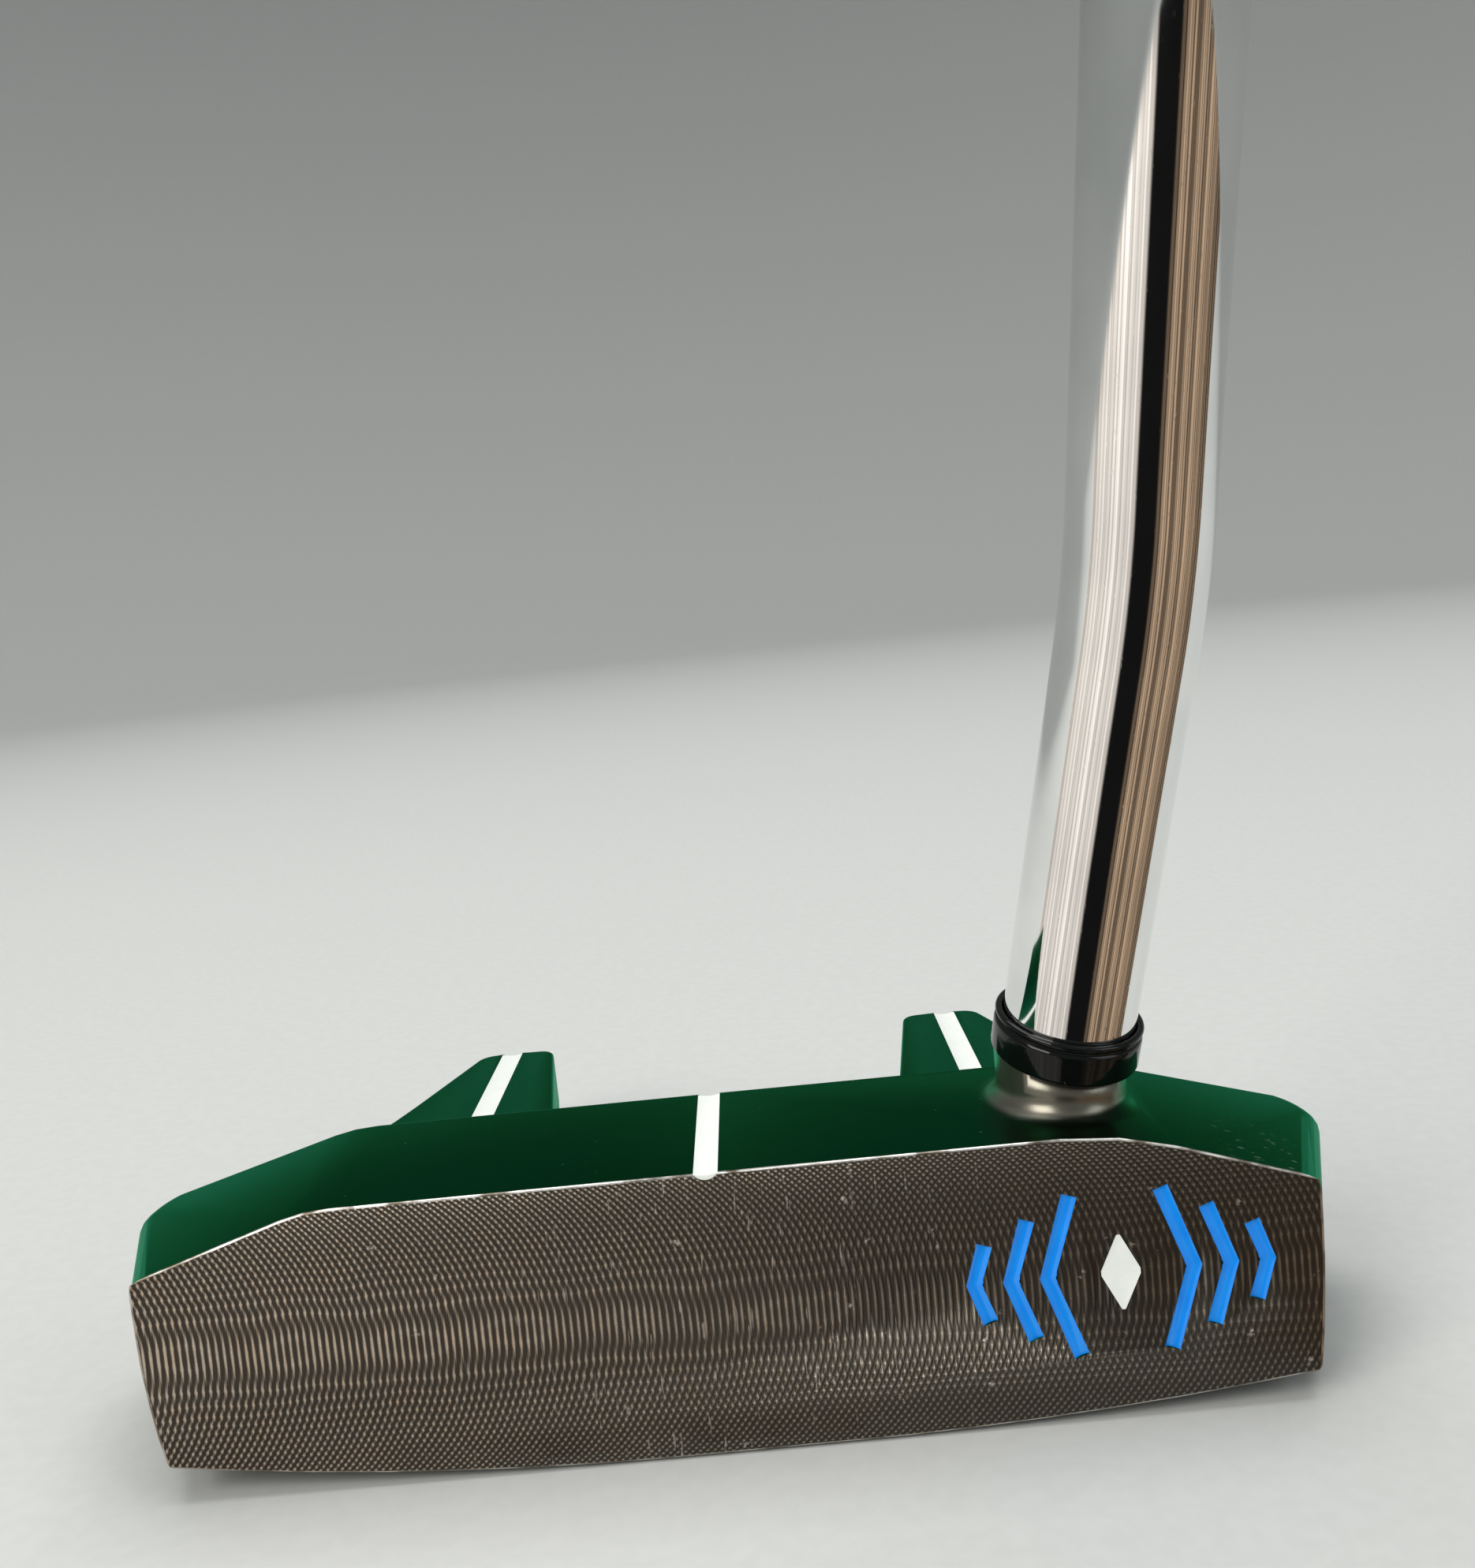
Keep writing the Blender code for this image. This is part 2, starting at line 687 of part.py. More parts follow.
def lozenge(name, shrink, low, high):
    x, y = BADGE_CENTRE
    half_width = LOZENGE[0] / 2.0 - shrink
    half_height = LOZENGE[1] / 2.0 - shrink * LOZENGE[1] / LOZENGE[0]
    outline = rounded_outline([
        (x + half_width, y, LOZENGE_CORNER),
        (x, y + half_height, LOZENGE_CORNER),
        (x - half_width, y, LOZENGE_CORNER),
        (x, y - half_height, LOZENGE_CORNER),
    ])
    return slab(name, outline, low, high, face_frame())


def badge():
    """(grooves, fills) of the face ornament."""
    grooves = []
    fills = []
    radius = (BADGE_WIDTH ** 2 / 4.0 + BADGE_DEPTH ** 2) / (2.0 * BADGE_DEPTH)
    lift = radius - BADGE_DEPTH
    names = ("inner", "middle", "outer")
    for side, where in ((-1.0, "toe"), (1.0, "heel")):
        for rank, which in enumerate(names):
            path = chevron_path(side, rank)
            name = f"chevron_{where}_{which}"
            grooves.append(badge_bar(f"{name}_groove", path, radius, lift))
            fill = badge_bar(name, path, radius - PAINT_GAP, lift)
            cut(fill, block_above(f"{name}_lid", face_frame(), 2.0 * PAST))
            fills.append(place(fill, PARTS, PAINT_BLUE))
    grooves.append(lozenge("badge_lozenge_pocket", 0.0, -BADGE_DEPTH, PAST))
    centre = lozenge("badge_lozenge", PAINT_GAP, PAINT_GAP - BADGE_DEPTH, 0.0)
    fills.append(place(centre, PARTS, PAINT_WHITE))
    return grooves, fills


def weight_frame(side):
    """Centre of a sole weight's port, at the sole, Z up into the head."""
    x = side * WEIGHT_OFFSET
    return Matrix.Translation((x, 0.0, sole_height(x) + WEIGHT_RECESS))


def weight_port(name, side):
    floor = WEIGHT_HEAD + WASHER_THICKNESS + 2.0 * SEAT_GAP
    deep = floor + WEIGHT_STUD
    profile = [
        (0.0, deep),
        (WEIGHT_STUD_RADIUS + SEAT_GAP, deep),
        (WEIGHT_STUD_RADIUS + SEAT_GAP, floor),
        (WEIGHT_RADIUS + SEAT_GAP, floor),
        (WEIGHT_RADIUS + SEAT_GAP, -PAST),
        (0.0, -PAST),
    ]
    return turned(name, profile, weight_frame(side))


def sole_weight(name, side):
    seat = WEIGHT_HEAD
    tip = seat + WASHER_THICKNESS + SEAT_GAP + WEIGHT_STUD
    profile = [
        (0.0, tip),
        (WEIGHT_STUD_RADIUS - WEIGHT_EDGE, tip),
        (WEIGHT_STUD_RADIUS, tip - WEIGHT_EDGE),
        (WEIGHT_STUD_RADIUS, seat),
        (WEIGHT_RADIUS, seat),
        (WEIGHT_RADIUS, WEIGHT_EDGE),
        (WEIGHT_RADIUS - WEIGHT_EDGE, 0.0),
        (0.0, 0.0),
    ]
    weight = turned(name, profile, weight_frame(side))
    points = []
    count = 8 * SOCKET_LOBES
    for k in range(count):
        angle = 2.0 * math.pi * k / count
        radius = SOCKET_RADIUS * (1.0 + SOCKET_WAVE * math.cos(SOCKET_LOBES * angle))
        points.append((radius * math.cos(angle), radius * math.sin(angle)))
    socket = slab(f"{name}_socket", points, -PAST, SOCKET_DEPTH, weight_frame(side))
    cut(weight, socket)
    return place(weight, PARTS, WEIGHT_STEEL)


def weight_washer(name, side):
    low = WEIGHT_HEAD + SEAT_GAP
    high = low + WASHER_THICKNESS
    inner = WEIGHT_STUD_RADIUS + SEAT_GAP
    outer = WEIGHT_RADIUS - WEIGHT_EDGE
    profile = [(inner, high), (outer, high), (outer, low), (inner, low)]
    washer = turned(name, profile, weight_frame(side))
    return place(washer, PARTS, NYLON)


def relief_pocket(name, side, reach):
    """A pocket milled up into a fang from below, following its outline."""
    wall = RELIEF_WALL
    tip = depth_to_y(HEAD_DEPTH) - RELIEF_TIP_WALL * wall
    root = bar_back(FANG_TOP) + wall
    bend_y = depth_to_y(BEND_DEPTH)
    root_x, root_y = root_corner(reach)
    share = (root - root_y) / (bend_y - root_y)
    outer_at_root = root_x + (FANG_SPREAD - root_x) * share
    corners = [
        (THROAT_HALF + RELIEF_OUTER_WALL * wall, root, RELIEF_CORNERS[0]),
        (outer_at_root - RELIEF_OUTER_WALL * wall, root, RELIEF_CORNERS[0]),
        (FANG_SPREAD - wall, bend_y, RELIEF_BLEND),
        (FANG_GAP / 2.0 + FANG_TIP_WIDTH - wall, tip, RELIEF_CORNERS[1]),
        (FANG_GAP / 2.0 + wall, tip, RELIEF_CORNERS[1]),
        (FANG_WAIST + wall, bend_y, RELIEF_BLEND),
    ]
    outline = rounded_outline([(side * x, y, radius) for x, y, radius in corners])
    return slab(name, outline, -PAST, RELIEF_HEIGHT)


def head():
    """The milled head: bar, fangs, neck and post in one piece, with its grooves and ports."""
    rise = shear_up(TOP_RISE, face_top_y())
    body = bar()
    keep_inside(
        body,
        front_elevation("top_profile", top_outline(), rise),
        front_elevation("sole_profile", sole_outline()),
    )
    join(body, fangs())
    cut(body, block_above("face_plane", face_frame(), 8.0 * PAST))
    join(body, neck(), post())
    line_end = depth_to_y(HEAD_DEPTH)
    sight_start = -FACE_SETBACK - PAST
    cut(body, line_groove(
        "sight_groove", SIGHT_WIDTH, 0.0, sight_start,
        depth_to_y(BAR_DEPTH) + PAST, top_height(0.0, sight_start), TOP_RISE,
    ))
    for side, where in ((-1.0, "toe"), (1.0, "heel")):
        cut(body, line_groove(
            f"{where}_fang_groove", FANG_LINE_WIDTH, side * FANG_LINE_OFFSET,
            depth_to_y(FANG_LINE_START), line_end + PAST, FANG_TOP, 0.0,
        ))
    grooves, fills = badge()
    cut(body, *grooves)
    cut(body, weight_port("toe_port", -1.0), weight_port("heel_port", 1.0))
    cut(
        body,
        relief_pocket("toe_relief", -1.0, TOE_REACH),
        relief_pocket("heel_relief", 1.0, HEEL_REACH),
    )
    return place(body, PARTS, HEAD_BLACK)


def alignment_lines():
    front = face_top_y() + LINE_INSET
    back = depth_to_y(BAR_DEPTH) - LINE_INSET
    height = top_height(0.0, front)
    sight = line_fill("top_sight_line", SIGHT_WIDTH, 0.0, front, back, height, TOP_RISE)
    place(sight, PARTS, PAINT_WHITE)
    end = depth_to_y(HEAD_DEPTH) - LINE_INSET
    start = depth_to_y(FANG_LINE_START) + PAINT_GAP
    for side, where in ((-1.0, "toe"), (1.0, "heel")):
        x = side * FANG_LINE_OFFSET
        line = line_fill(f"{where}_fang_line", FANG_LINE_WIDTH, x, start, end, FANG_TOP, 0.0)
        place(line, PARTS, PAINT_WHITE)


# Shaft, hosel and grip

def ferrule():
    lip = SHAFT_RADIUS + SEAT_GAP
    bore = post_radius() + SEAT_GAP
    profile = [
        (lip, FERRULE_HEIGHT),
        (FERRULE_RADIUS - FERRULE_RIM, FERRULE_HEIGHT),
        (FERRULE_RADIUS, FERRULE_HEIGHT - FERRULE_RIM),
        (FERRULE_RADIUS, FERRULE_CHAMFER),
        (FERRULE_RADIUS - FERRULE_CHAMFER, 0.0),
        (bore, 0.0),
        (bore, FERRULE_FLOOR),
        (lip, FERRULE_FLOOR),
    ]
    ring = turned("ferrule", profile, ferrule_frame())
    return place(ring, PARTS, GLOSS_BLACK)


def adhesive():
    outer = post_radius()
    inner = outer - GLUE_DEPTH + SEAT_GAP
    low = GLUE_START + SEAT_GAP
    high = GLUE_START + GLUE_LENGTH - SEAT_GAP
    profile = [(outer, high), (outer, low), (inner, low), (inner, high)]
    sleeve = turned("hosel_adhesive", profile, seat_frame())
    return place(sleeve, PARTS, EPOXY)


def shaft_stations():
    """(point, radius) pairs along the shaft, with its steps near the butt."""
    tip, first, second, butt = shaft_path()
    stations = [(tip, SHAFT_RADIUS)]
    stations += [(p, SHAFT_RADIUS) for p in bend(tip, first, second, BEND_RADIUS)]
    stations += [(p, SHAFT_RADIUS) for p in bend(first, second, butt, BEND_RADIUS)]
    radius = SHAFT_RADIUS
    last_step = CLUB_LENGTH - GRIP_LENGTH - STEP_TO_GRIP
    for step in range(SHAFT_STEPS):
        foot = last_step - STEP_PITCH * (SHAFT_STEPS - 1 - step)
        stations.append((upper_frame(foot).translation, radius))
        radius += STEP_RISE
        stations.append((upper_frame(foot + STEP_CONE).translation, radius))
    stations.append((butt, radius))
    return stations


def shaft():
    """A bent and stepped steel tube, open at both ends."""
    stations = shaft_stations()
    curve = bpy.data.curves.new("shaft_line", "CURVE")
    curve.dimensions = "3D"
    curve.bevel_depth = SHAFT_RADIUS
    curve.bevel_resolution = 10
    curve.use_fill_caps = False
    curve.twist_mode = "MINIMUM"
    spline = curve.splines.new("POLY")
    spline.points.add(len(stations) - 1)
    for point, (position, radius) in zip(spline.points, stations):
        point.co = (*position, 1.0)
        point.radius = radius / SHAFT_RADIUS
    source = bpy.data.objects.new("shaft", curve)
    bpy.context.scene.collection.objects.link(source)
    tube_skin = meshed(source, Matrix.Identity(4))
    wall = tube_skin.modifiers.new("Wall", "SOLIDIFY")
    wall.thickness = SHAFT_WALL
    wall.offset = -1.0
    wall.use_even_offset = True
    wall.use_rim = True
    return place(tube_skin, PARTS, CHROME)


def grip_bore():
    return butt_radius() + SEAT_GAP + TAPE_THICKNESS + SEAT_GAP


def grip_section(share):
    """Half width, half depth and distance to the thumb flat; share runs mouth to butt."""
    swell = share * share * (3.0 - 2.0 * share)
    mouth = grip_bore() + GRIP_WALL
    half_width = mouth + (GRIP_BUTT_WIDTH / 2.0 - mouth) * swell
    half_depth = mouth + (GRIP_BUTT_DEPTH / 2.0 - mouth) * swell
    flatness = GRIP_FLAT * math.sin(math.pi * share / 2.0)
    return half_width, half_depth, half_depth * (1.0 - flatness)


def grip_ring(share, frame):
    """One outer section: round behind, flattened on the side where the thumbs lie."""
    half_width, half_depth, limit = grip_section(share)
    ring = []
    for k in range(ROUND_STEPS):
        angle = 2.0 * math.pi * k / ROUND_STEPS
        x = -half_depth * math.cos(angle)
        y = half_width * math.sin(angle)
        if x < -limit:
            x = -limit + GRIP_FLAT_CROWN * (x + limit)
        ring.append(frame @ Vector((x, y, 0.0)))
    return ring


def grip():
    """The rubber grip: a tapered sleeve with a flat front, bored for the taped shaft."""
    start = CLUB_LENGTH - GRIP_LENGTH
    stations = 12
    outer = []
    for i in range(stations + 1):
        share = i / stations
        outer.append(grip_ring(share, upper_frame(start + GRIP_LENGTH * share)))
    bore = grip_bore()
    inner = []
    for distance in (CLUB_LENGTH, start):
        frame = upper_frame(distance)
        ring = []
        for k in range(ROUND_STEPS):
            angle = 2.0 * math.pi * k / ROUND_STEPS
            local = Vector((-bore * math.cos(angle), bore * math.sin(angle), 0.0))
            ring.append(frame @ local)
        inner.append(ring)
    sleeve = lofted("grip", outer + inner, closed_ends=False)
    return place(sleeve, PARTS, RUBBER)


def grip_tape():
    start = CLUB_LENGTH - GRIP_LENGTH + TAPE_INSET
    length = GRIP_LENGTH - 2.0 * TAPE_INSET
    inner = butt_radius() + SEAT_GAP
    outer = inner + TAPE_THICKNESS
    profile = [(outer, length), (outer, 0.0), (inner, 0.0), (inner, length)]
    tape = turned("grip_tape", profile, upper_frame(start))
    return place(tape, PARTS, TAPE)


def grip_cap():
    """The end cap: a low dome over the butt with a vented plug in the shaft's bore."""
    seat = upper_frame(CLUB_LENGTH + SEAT_GAP)
    plug = bore_radius(butt_radius()) - SEAT_GAP
    width = grip_section(1.0)[2] - CAP_EDGE
    crown = CAP_THICKNESS
    profile = [(VENT_RADIUS, crown)]
    pieces = 5
    for k in range(pieces + 1):
        angle = math.radians(90.0) * k / pieces
        out = width - crown * CAP_ROUND * (1.0 - math.sin(angle))
        profile.append((out, crown * (CAP_SIDE + (1.0 - CAP_SIDE) * math.cos(angle))))
    profile += [
        (width, 0.0),
        (plug, 0.0),
        (plug, -CAP_SPIGOT),
        (VENT_RADIUS, -CAP_SPIGOT),
    ]
    cap = turned("grip_cap", profile, seat)
    return place(cap, PARTS, CAP_BLACK)


def main():
    head()
    alignment_lines()
    for side, where in ((-1.0, "toe"), (1.0, "heel")):
        sole_weight(f"{where}_sole_weight", side)
        weight_washer(f"{where}_weight_washer", side)
    ferrule()
    adhesive()
    shaft()
    grip_tape()
    grip()
    grip_cap()


clear_scene()
PARTS = collection("mallet_putter")
HELPERS = collection("helpers", shown=False)
HEAD_BLACK = material("head_black", (0.008, 0.028, 0.016), 0.6, 0.3)
PAINT_WHITE = material("paint_white", (0.86, 0.88, 0.84), 0.0, 0.3)
PAINT_BLUE = material("paint_blue", (0.01, 0.22, 0.85), 0.0, 0.25)
WEIGHT_STEEL = material("weight_steel", (0.35, 0.35, 0.36), 1.0, 0.35)
NYLON = material("nylon", (0.75, 0.74, 0.7), 0.0, 0.5)
GLOSS_BLACK = material("gloss_black", (0.006, 0.006, 0.006), 0.0, 0.08)
EPOXY = material("epoxy", (0.55, 0.5, 0.38), 0.0, 0.4)
CHROME = material("chrome", (0.82, 0.82, 0.82), 1.0, 0.05)
TAPE = material("tape", (0.6, 0.55, 0.42), 0.0, 0.8)
RUBBER = material("rubber", (0.015, 0.015, 0.016), 0.0, 0.75)
CAP_BLACK = material("cap_black", (0.012, 0.012, 0.012), 0.0, 0.5)
main()
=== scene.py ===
"""Finished surfaces of a compact fanged mallet putter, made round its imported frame.

Frame: +X runs from toe to heel, +Y runs back from the striking face, +Z is up.
The origin is on the flat of the sole, below the sight line. Sizes are in millimetres;
MM turns them into the scene's metres.
"""

import math

import bmesh
import bpy
from bpy.props import FloatProperty, FloatVectorProperty, IntProperty, PointerProperty
from mathutils import Matrix, Vector


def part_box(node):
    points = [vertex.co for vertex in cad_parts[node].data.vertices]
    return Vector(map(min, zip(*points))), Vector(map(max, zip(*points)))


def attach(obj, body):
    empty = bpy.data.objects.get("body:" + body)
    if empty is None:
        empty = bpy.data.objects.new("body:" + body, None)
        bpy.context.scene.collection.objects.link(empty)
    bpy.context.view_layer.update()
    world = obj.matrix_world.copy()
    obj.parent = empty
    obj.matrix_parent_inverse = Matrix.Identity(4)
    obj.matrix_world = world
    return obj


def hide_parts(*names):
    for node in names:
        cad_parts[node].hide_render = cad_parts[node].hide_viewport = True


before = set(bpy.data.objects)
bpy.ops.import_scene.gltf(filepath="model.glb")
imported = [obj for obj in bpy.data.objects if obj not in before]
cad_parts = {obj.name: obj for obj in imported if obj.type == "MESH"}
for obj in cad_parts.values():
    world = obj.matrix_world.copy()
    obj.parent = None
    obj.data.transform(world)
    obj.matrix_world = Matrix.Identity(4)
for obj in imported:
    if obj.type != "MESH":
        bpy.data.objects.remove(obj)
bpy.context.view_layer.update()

bl_info = {
    "name": "Mallet putter finish",
    "version": (1, 0, 0),
    "blender": (4, 5, 0),
    "location": "View3D > Sidebar > Putter",
    "description": "Milled head, paint, chrome shaft and rubber grip of a mallet putter",
    "category": "Object",
}

MM = 0.001

# Head, as it was modelled
LOFT = math.radians(3.5)
TOP_RISE = 0.033  # the top climbs this much per unit of depth
BAR_DEPTH = 17.65
HEAD_DEPTH = 71.1
FANG_TOP = 11.0
SIGHT_WIDTH = 1.9
FANG_LINE_WIDTH = 2.45
FANG_LINE_OFFSET = 26.45
FANG_LINE_START = 27.0
LINE_DEPTH = 0.55
ORNAMENT_CENTRE = (30.2, 11.193)
CHEVRON_WIDTH = 1.25
ORNAMENT_DEPTH = 0.5
CHEVRON_PITCH = 3.3
CHEVRON_FIRST = 3.4
CHEVRON_HEIGHTS = (12.405, 9.201, 5.997)
CHEVRON_SWEEP = 0.34
LOZENGE = (3.2, 6.4)
WEIGHT_OFFSET = 33.0

# Hosel, shaft and grip, as they were modelled
TOP_HEIGHT = 21.65
HOSEL_FOOT = Vector((28.25, 0.586 * BAR_DEPTH - 9.0, TOP_HEIGHT + 0.35))
TIP_LEAN = Vector((0.166, -0.216, 1.0))
MID_LEAN = Vector((0.053, -0.231, 1.0))
LIE = math.radians(70.0)
SHAFT_RADIUS = 5.15
SHAFT_WALL = 0.45
NECK_HEIGHT = 3.5
FERRULE_FLOOR = 1.3
FIRST_BEND_HEIGHT = TOP_HEIGHT + 40.45
SECOND_BEND_HEIGHT = FIRST_BEND_HEIGHT + 59.9
BEND_RADIUS = 110.0
CLUB_LENGTH = 863.6
SHAFT_STEPS = 7
STEP_RISE = 0.31
STEP_PITCH = 34.0
STEP_CONE = 1.5
STEP_TO_GRIP = 92.6
SEAT_GAP = 0.3
GRIP_LENGTH = 267.0
GRIP_MOUTH_RADIUS = 9.9
GRIP_BUTT_WIDTH = 27.5
GRIP_BUTT_DEPTH = 27.0
GRIP_FLAT = 0.22
GRIP_FLAT_CROWN = 0.12

LEADING_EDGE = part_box("head_body")[0].y / MM

# Ferrule, weights and cap
FERRULE_WALL = 0.63
FERRULE_HEIGHT = 3.45
FERRULE_CLEARANCE = 0.05
WEIGHT_DEPTH = 3.2
WEIGHT_LIP = 6.0
SOCKET_RADIUS = 2.0
SOCKET_DEPTH = 1.8
SOCKET_LOBES = 6
SOCKET_WAVE = 0.14
THREAD_PITCH = 0.5
CAP_CROWN = 2.6
CAP_PLUG = 9.0
CAP_MARGIN = 0.9
VENT_RADIUS = 1.5

# How much of the full rounding an edge takes, and which edges count as edges
FACE_SHARE = 0.11
EDGE_SHARE = 0.3
ROUNDED_ANGLE = math.radians(24.0)
FLAT_ANGLE = math.radians(0.6)
FINE = 0.02  # by which a paint fill is narrower and shallower than its groove
LINE_INSET = 0.35  # from a paint line's end to the edge of its surface


# Settings that a user may change

def length(name, description, millimetres):
    return FloatProperty(
        name=name, description=description, default=millimetres * MM, unit="LENGTH",
    )


def colour(name, description, linear):
    return FloatVectorProperty(
        name=name, description=description, default=linear, subtype="COLOR",
    )


def angle(name, description, radians):
    return FloatProperty(name=name, description=description, default=radians, subtype="ANGLE")


class HeadSettings(bpy.types.PropertyGroup):
    edge_round: length("End rounding", "Width of the rounding over the toe and heel ends", 1.5)
    # The coat is black; its dark green colour is a painted reflection.
    satin: colour("Satin coat", "Colour of the smooth coated surfaces", (0.001, 0.024, 0.0105))
    bronze: colour("Bronze", "Colour of the milled face's ridges", (0.52, 0.455, 0.375))
    cut_pitch: length("Cutter feed", "Distance between neighbouring cutter marks", 0.56)
    cut_radius: length("Cutter radius", "Radius of the cutter marks on the face", 13.44)


class PaintSettings(bpy.types.PropertyGroup):
    white: colour("White", "Colour of the alignment lines", (0.95, 0.98, 0.93))
    blue: colour("Blue", "Colour of the face ornament", (0.008, 0.31, 1.0))
    sag: length("Sag", "How far the middle of a paint fill lies below its rims", 0.2)


class ShaftSettings(bpy.types.PropertyGroup):
    sides: IntProperty(
        name="Sides", description="Number of sides of the shaft's tube",
        default=96, min=24, max=256,
    )
    rim: length("Ferrule rim", "Radius of the bead on the ferrule's upper edge", 0.29)


class GripSettings(bpy.types.PropertyGroup):
    pad_pitch: length("Pad pitch", "Distance between the raised pads of the grip", 4.4)
    pad_height: length("Pad height", "How far the pads stand out of the grip", 0.45)


class StageSettings(bpy.types.PropertyGroup):
    eye: FloatVectorProperty(
        name="Camera", description="Where the camera stands",
        default=(6.9637 * MM, -112.9215 * MM, 64.4055 * MM), subtype="XYZ", unit="LENGTH",
    )
    yaw: angle("Yaw", "How far the camera turns left of straight back", 0.0154659)
    pitch: angle("Pitch", "How far the camera looks down", 0.1307046)
    roll: angle("Roll", "How far the camera tips to its side", -0.101043)
    lens: FloatProperty(
        name="Lens", description="Focal length for a 36 mm sensor, in millimetres",
        default=33.863,
    )
    floor: colour("Floor", "Colour of the floor and the wall behind", (0.62, 0.63, 0.61))


# Node trees

class Nodes:
    """A node tree that grows by one method."""

    def __init__(self, tree):
        self.tree = tree

    def add(self, kind, settings=None, inputs=None):
        node = self.tree.nodes.new(kind)
        for name, value in (settings or {}).items():
            setattr(node, name, value)
        for name, value in (inputs or {}).items():
            socket = node.inputs[name]
            value = getattr(value, "socket", value)
            if isinstance(value, bpy.types.NodeSocket):
                self.tree.links.new(value, socket)
            else:
                socket.default_value = value
        return node


class Amount:
    """A number that varies over a surface; arithmetic on it adds Math nodes."""

    def __init__(self, finish, socket):
        self.finish = finish
        self.socket = socket

    def math(self, operation, *values):
        node = self.finish.add(
            "ShaderNodeMath", {"operation": operation}, dict(enumerate(values)),
        )
        return Amount(self.finish, node.outputs[0])

    def __add__(self, other):
        return self.math("ADD", self, other)

    def __sub__(self, other):
        return self.math("SUBTRACT", self, other)

    def __rsub__(self, other):
        return self.math("SUBTRACT", other, self)

    def __mul__(self, other):
        return self.math("MULTIPLY", self, other)

    def __truediv__(self, other):
        return self.math("DIVIDE", self, other)

    __radd__ = __add__
    __rmul__ = __mul__

    def fraction(self):
        return self.math("FRACT", self)

    def size(self):
        return self.math("ABSOLUTE", self)

    def root(self):
        return self.math("SQRT", self)

    def wave(self):
        return self.math("SINE", self)

    def least(self, other):
        return self.math("MINIMUM", self, other)

    def most(self, other):
        return self.math("MAXIMUM", self, other)

    def between(self, low, high):
        """0 at low, 1 at high, with a smooth passage between."""
        node = self.finish.add(
            "ShaderNodeMapRange", {"interpolation_type": "SMOOTHSTEP"},
            {"Value": self, "From Min": low, "From Max": high},
        )
        return Amount(self.finish, node.outputs[0])


class Finish(Nodes):
    """A material under construction; lengths in it are millimetres."""

    def __init__(self, name):
        self.material = bpy.data.materials.new(name)
        self.material.use_nodes = True
        super().__init__(self.material.node_tree)
        self.tree.nodes.clear()
        texture = self.add("ShaderNodeTexCoord")
        self.place = self.stretched(texture.outputs["Object"], (1.0 / MM,) * 3)

    def stretched(self, vector, factors):
        inputs = {0: vector, 1: factors}
        return self.add("ShaderNodeVectorMath", {"operation": "MULTIPLY"}, inputs).outputs[0]

    def axes(self):
        node = self.add("ShaderNodeSeparateXYZ", inputs={0: self.place})
        return [Amount(self, socket) for socket in node.outputs]

    def noise(self, scale, detail=2.0, vector=None, roughness=0.5):
        node = self.add("ShaderNodeTexNoise", inputs={
            "Vector": vector or self.place, "Scale": scale,
            "Detail": detail, "Roughness": roughness,
        })
        return Amount(self, node.outputs[0])

    def cells(self, scale):
        node = self.add("ShaderNodeTexVoronoi", inputs={"Vector": self.place, "Scale": scale})
        return Amount(self, node.outputs["Distance"])

    def dots(self, scale, low, high):
        """1 inside small round dots, 0 between them."""
        return 1.0 - self.cells(scale).between(low, high)

    def mixed(self, share, first, second):
        node = self.add("ShaderNodeMix", {"data_type": "RGBA"}, {0: share})
        for index, colour in ((6, first), (7, second)):
            if isinstance(colour, bpy.types.NodeSocket):
                self.tree.links.new(colour, node.inputs[index])
            else:
                node.inputs[index].default_value = (*colour, 1.0)
        return node.outputs[2]

    def relief(self, height, distance, strength=1.0, normal=None):
        """A bump; distance is the height in millimetres that 1 stands for."""
        inputs = {"Height": height, "Distance": distance * MM, "Strength": strength}
        if normal is not None:
            inputs["Normal"] = normal
        return self.add("ShaderNodeBump", inputs=inputs).outputs[0]

    def close(self, **inputs):
        """End the material in a Principled shader; keywords are its sockets' names."""
        values = {}
        for key, value in inputs.items():
            label = key.replace("_", " ").title().replace("Ior", "IOR")
            values[label] = (*value, 1.0) if isinstance(value, tuple) else value
        shader = self.add("ShaderNodeBsdfPrincipled", inputs=values)
        self.add("ShaderNodeOutputMaterial", inputs={"Surface": shader.outputs[0]})
        return self.material


class Recipe(Nodes):
    """A Geometry Nodes tree with named inputs for its sizes."""

    def __init__(self, name, inputs):
        super().__init__(bpy.data.node_groups.new(name, "GeometryNodeTree"))
        face = self.tree.interface
        face.new_socket("Geometry", in_out="INPUT", socket_type="NodeSocketGeometry")
        self.identifiers = {}
        for label, kind in inputs.items():
            item = face.new_socket(label, in_out="INPUT", socket_type=f"NodeSocket{kind}")
            self.identifiers[label] = item.identifier
        face.new_socket("Geometry", in_out="OUTPUT", socket_type="NodeSocketGeometry")
        self.inputs = self.tree.nodes.new("NodeGroupInput").outputs

    def end(self, geometry, material):
        realised = self.add("GeometryNodeRealizeInstances", inputs={0: geometry})
        painted = self.add("GeometryNodeSetMaterial", inputs={
            "Geometry": realised.outputs[0], "Material": material,
        })
        self.add("NodeGroupOutput", inputs={0: painted.outputs[0]})

    def make(self, source, values):
        """Run the tree on source and keep the result as a plain mesh in its place."""
        modifier = source.modifiers.new(self.tree.name, "NODES")
        modifier.node_group = self.tree
        for label, value in values.items():
            modifier[self.identifiers[label]] = value
        return plain(source)


# Meshes

def linked(name, data):
    obj = bpy.data.objects.new(name, data)
    bpy.context.scene.collection.objects.link(obj)
    return obj


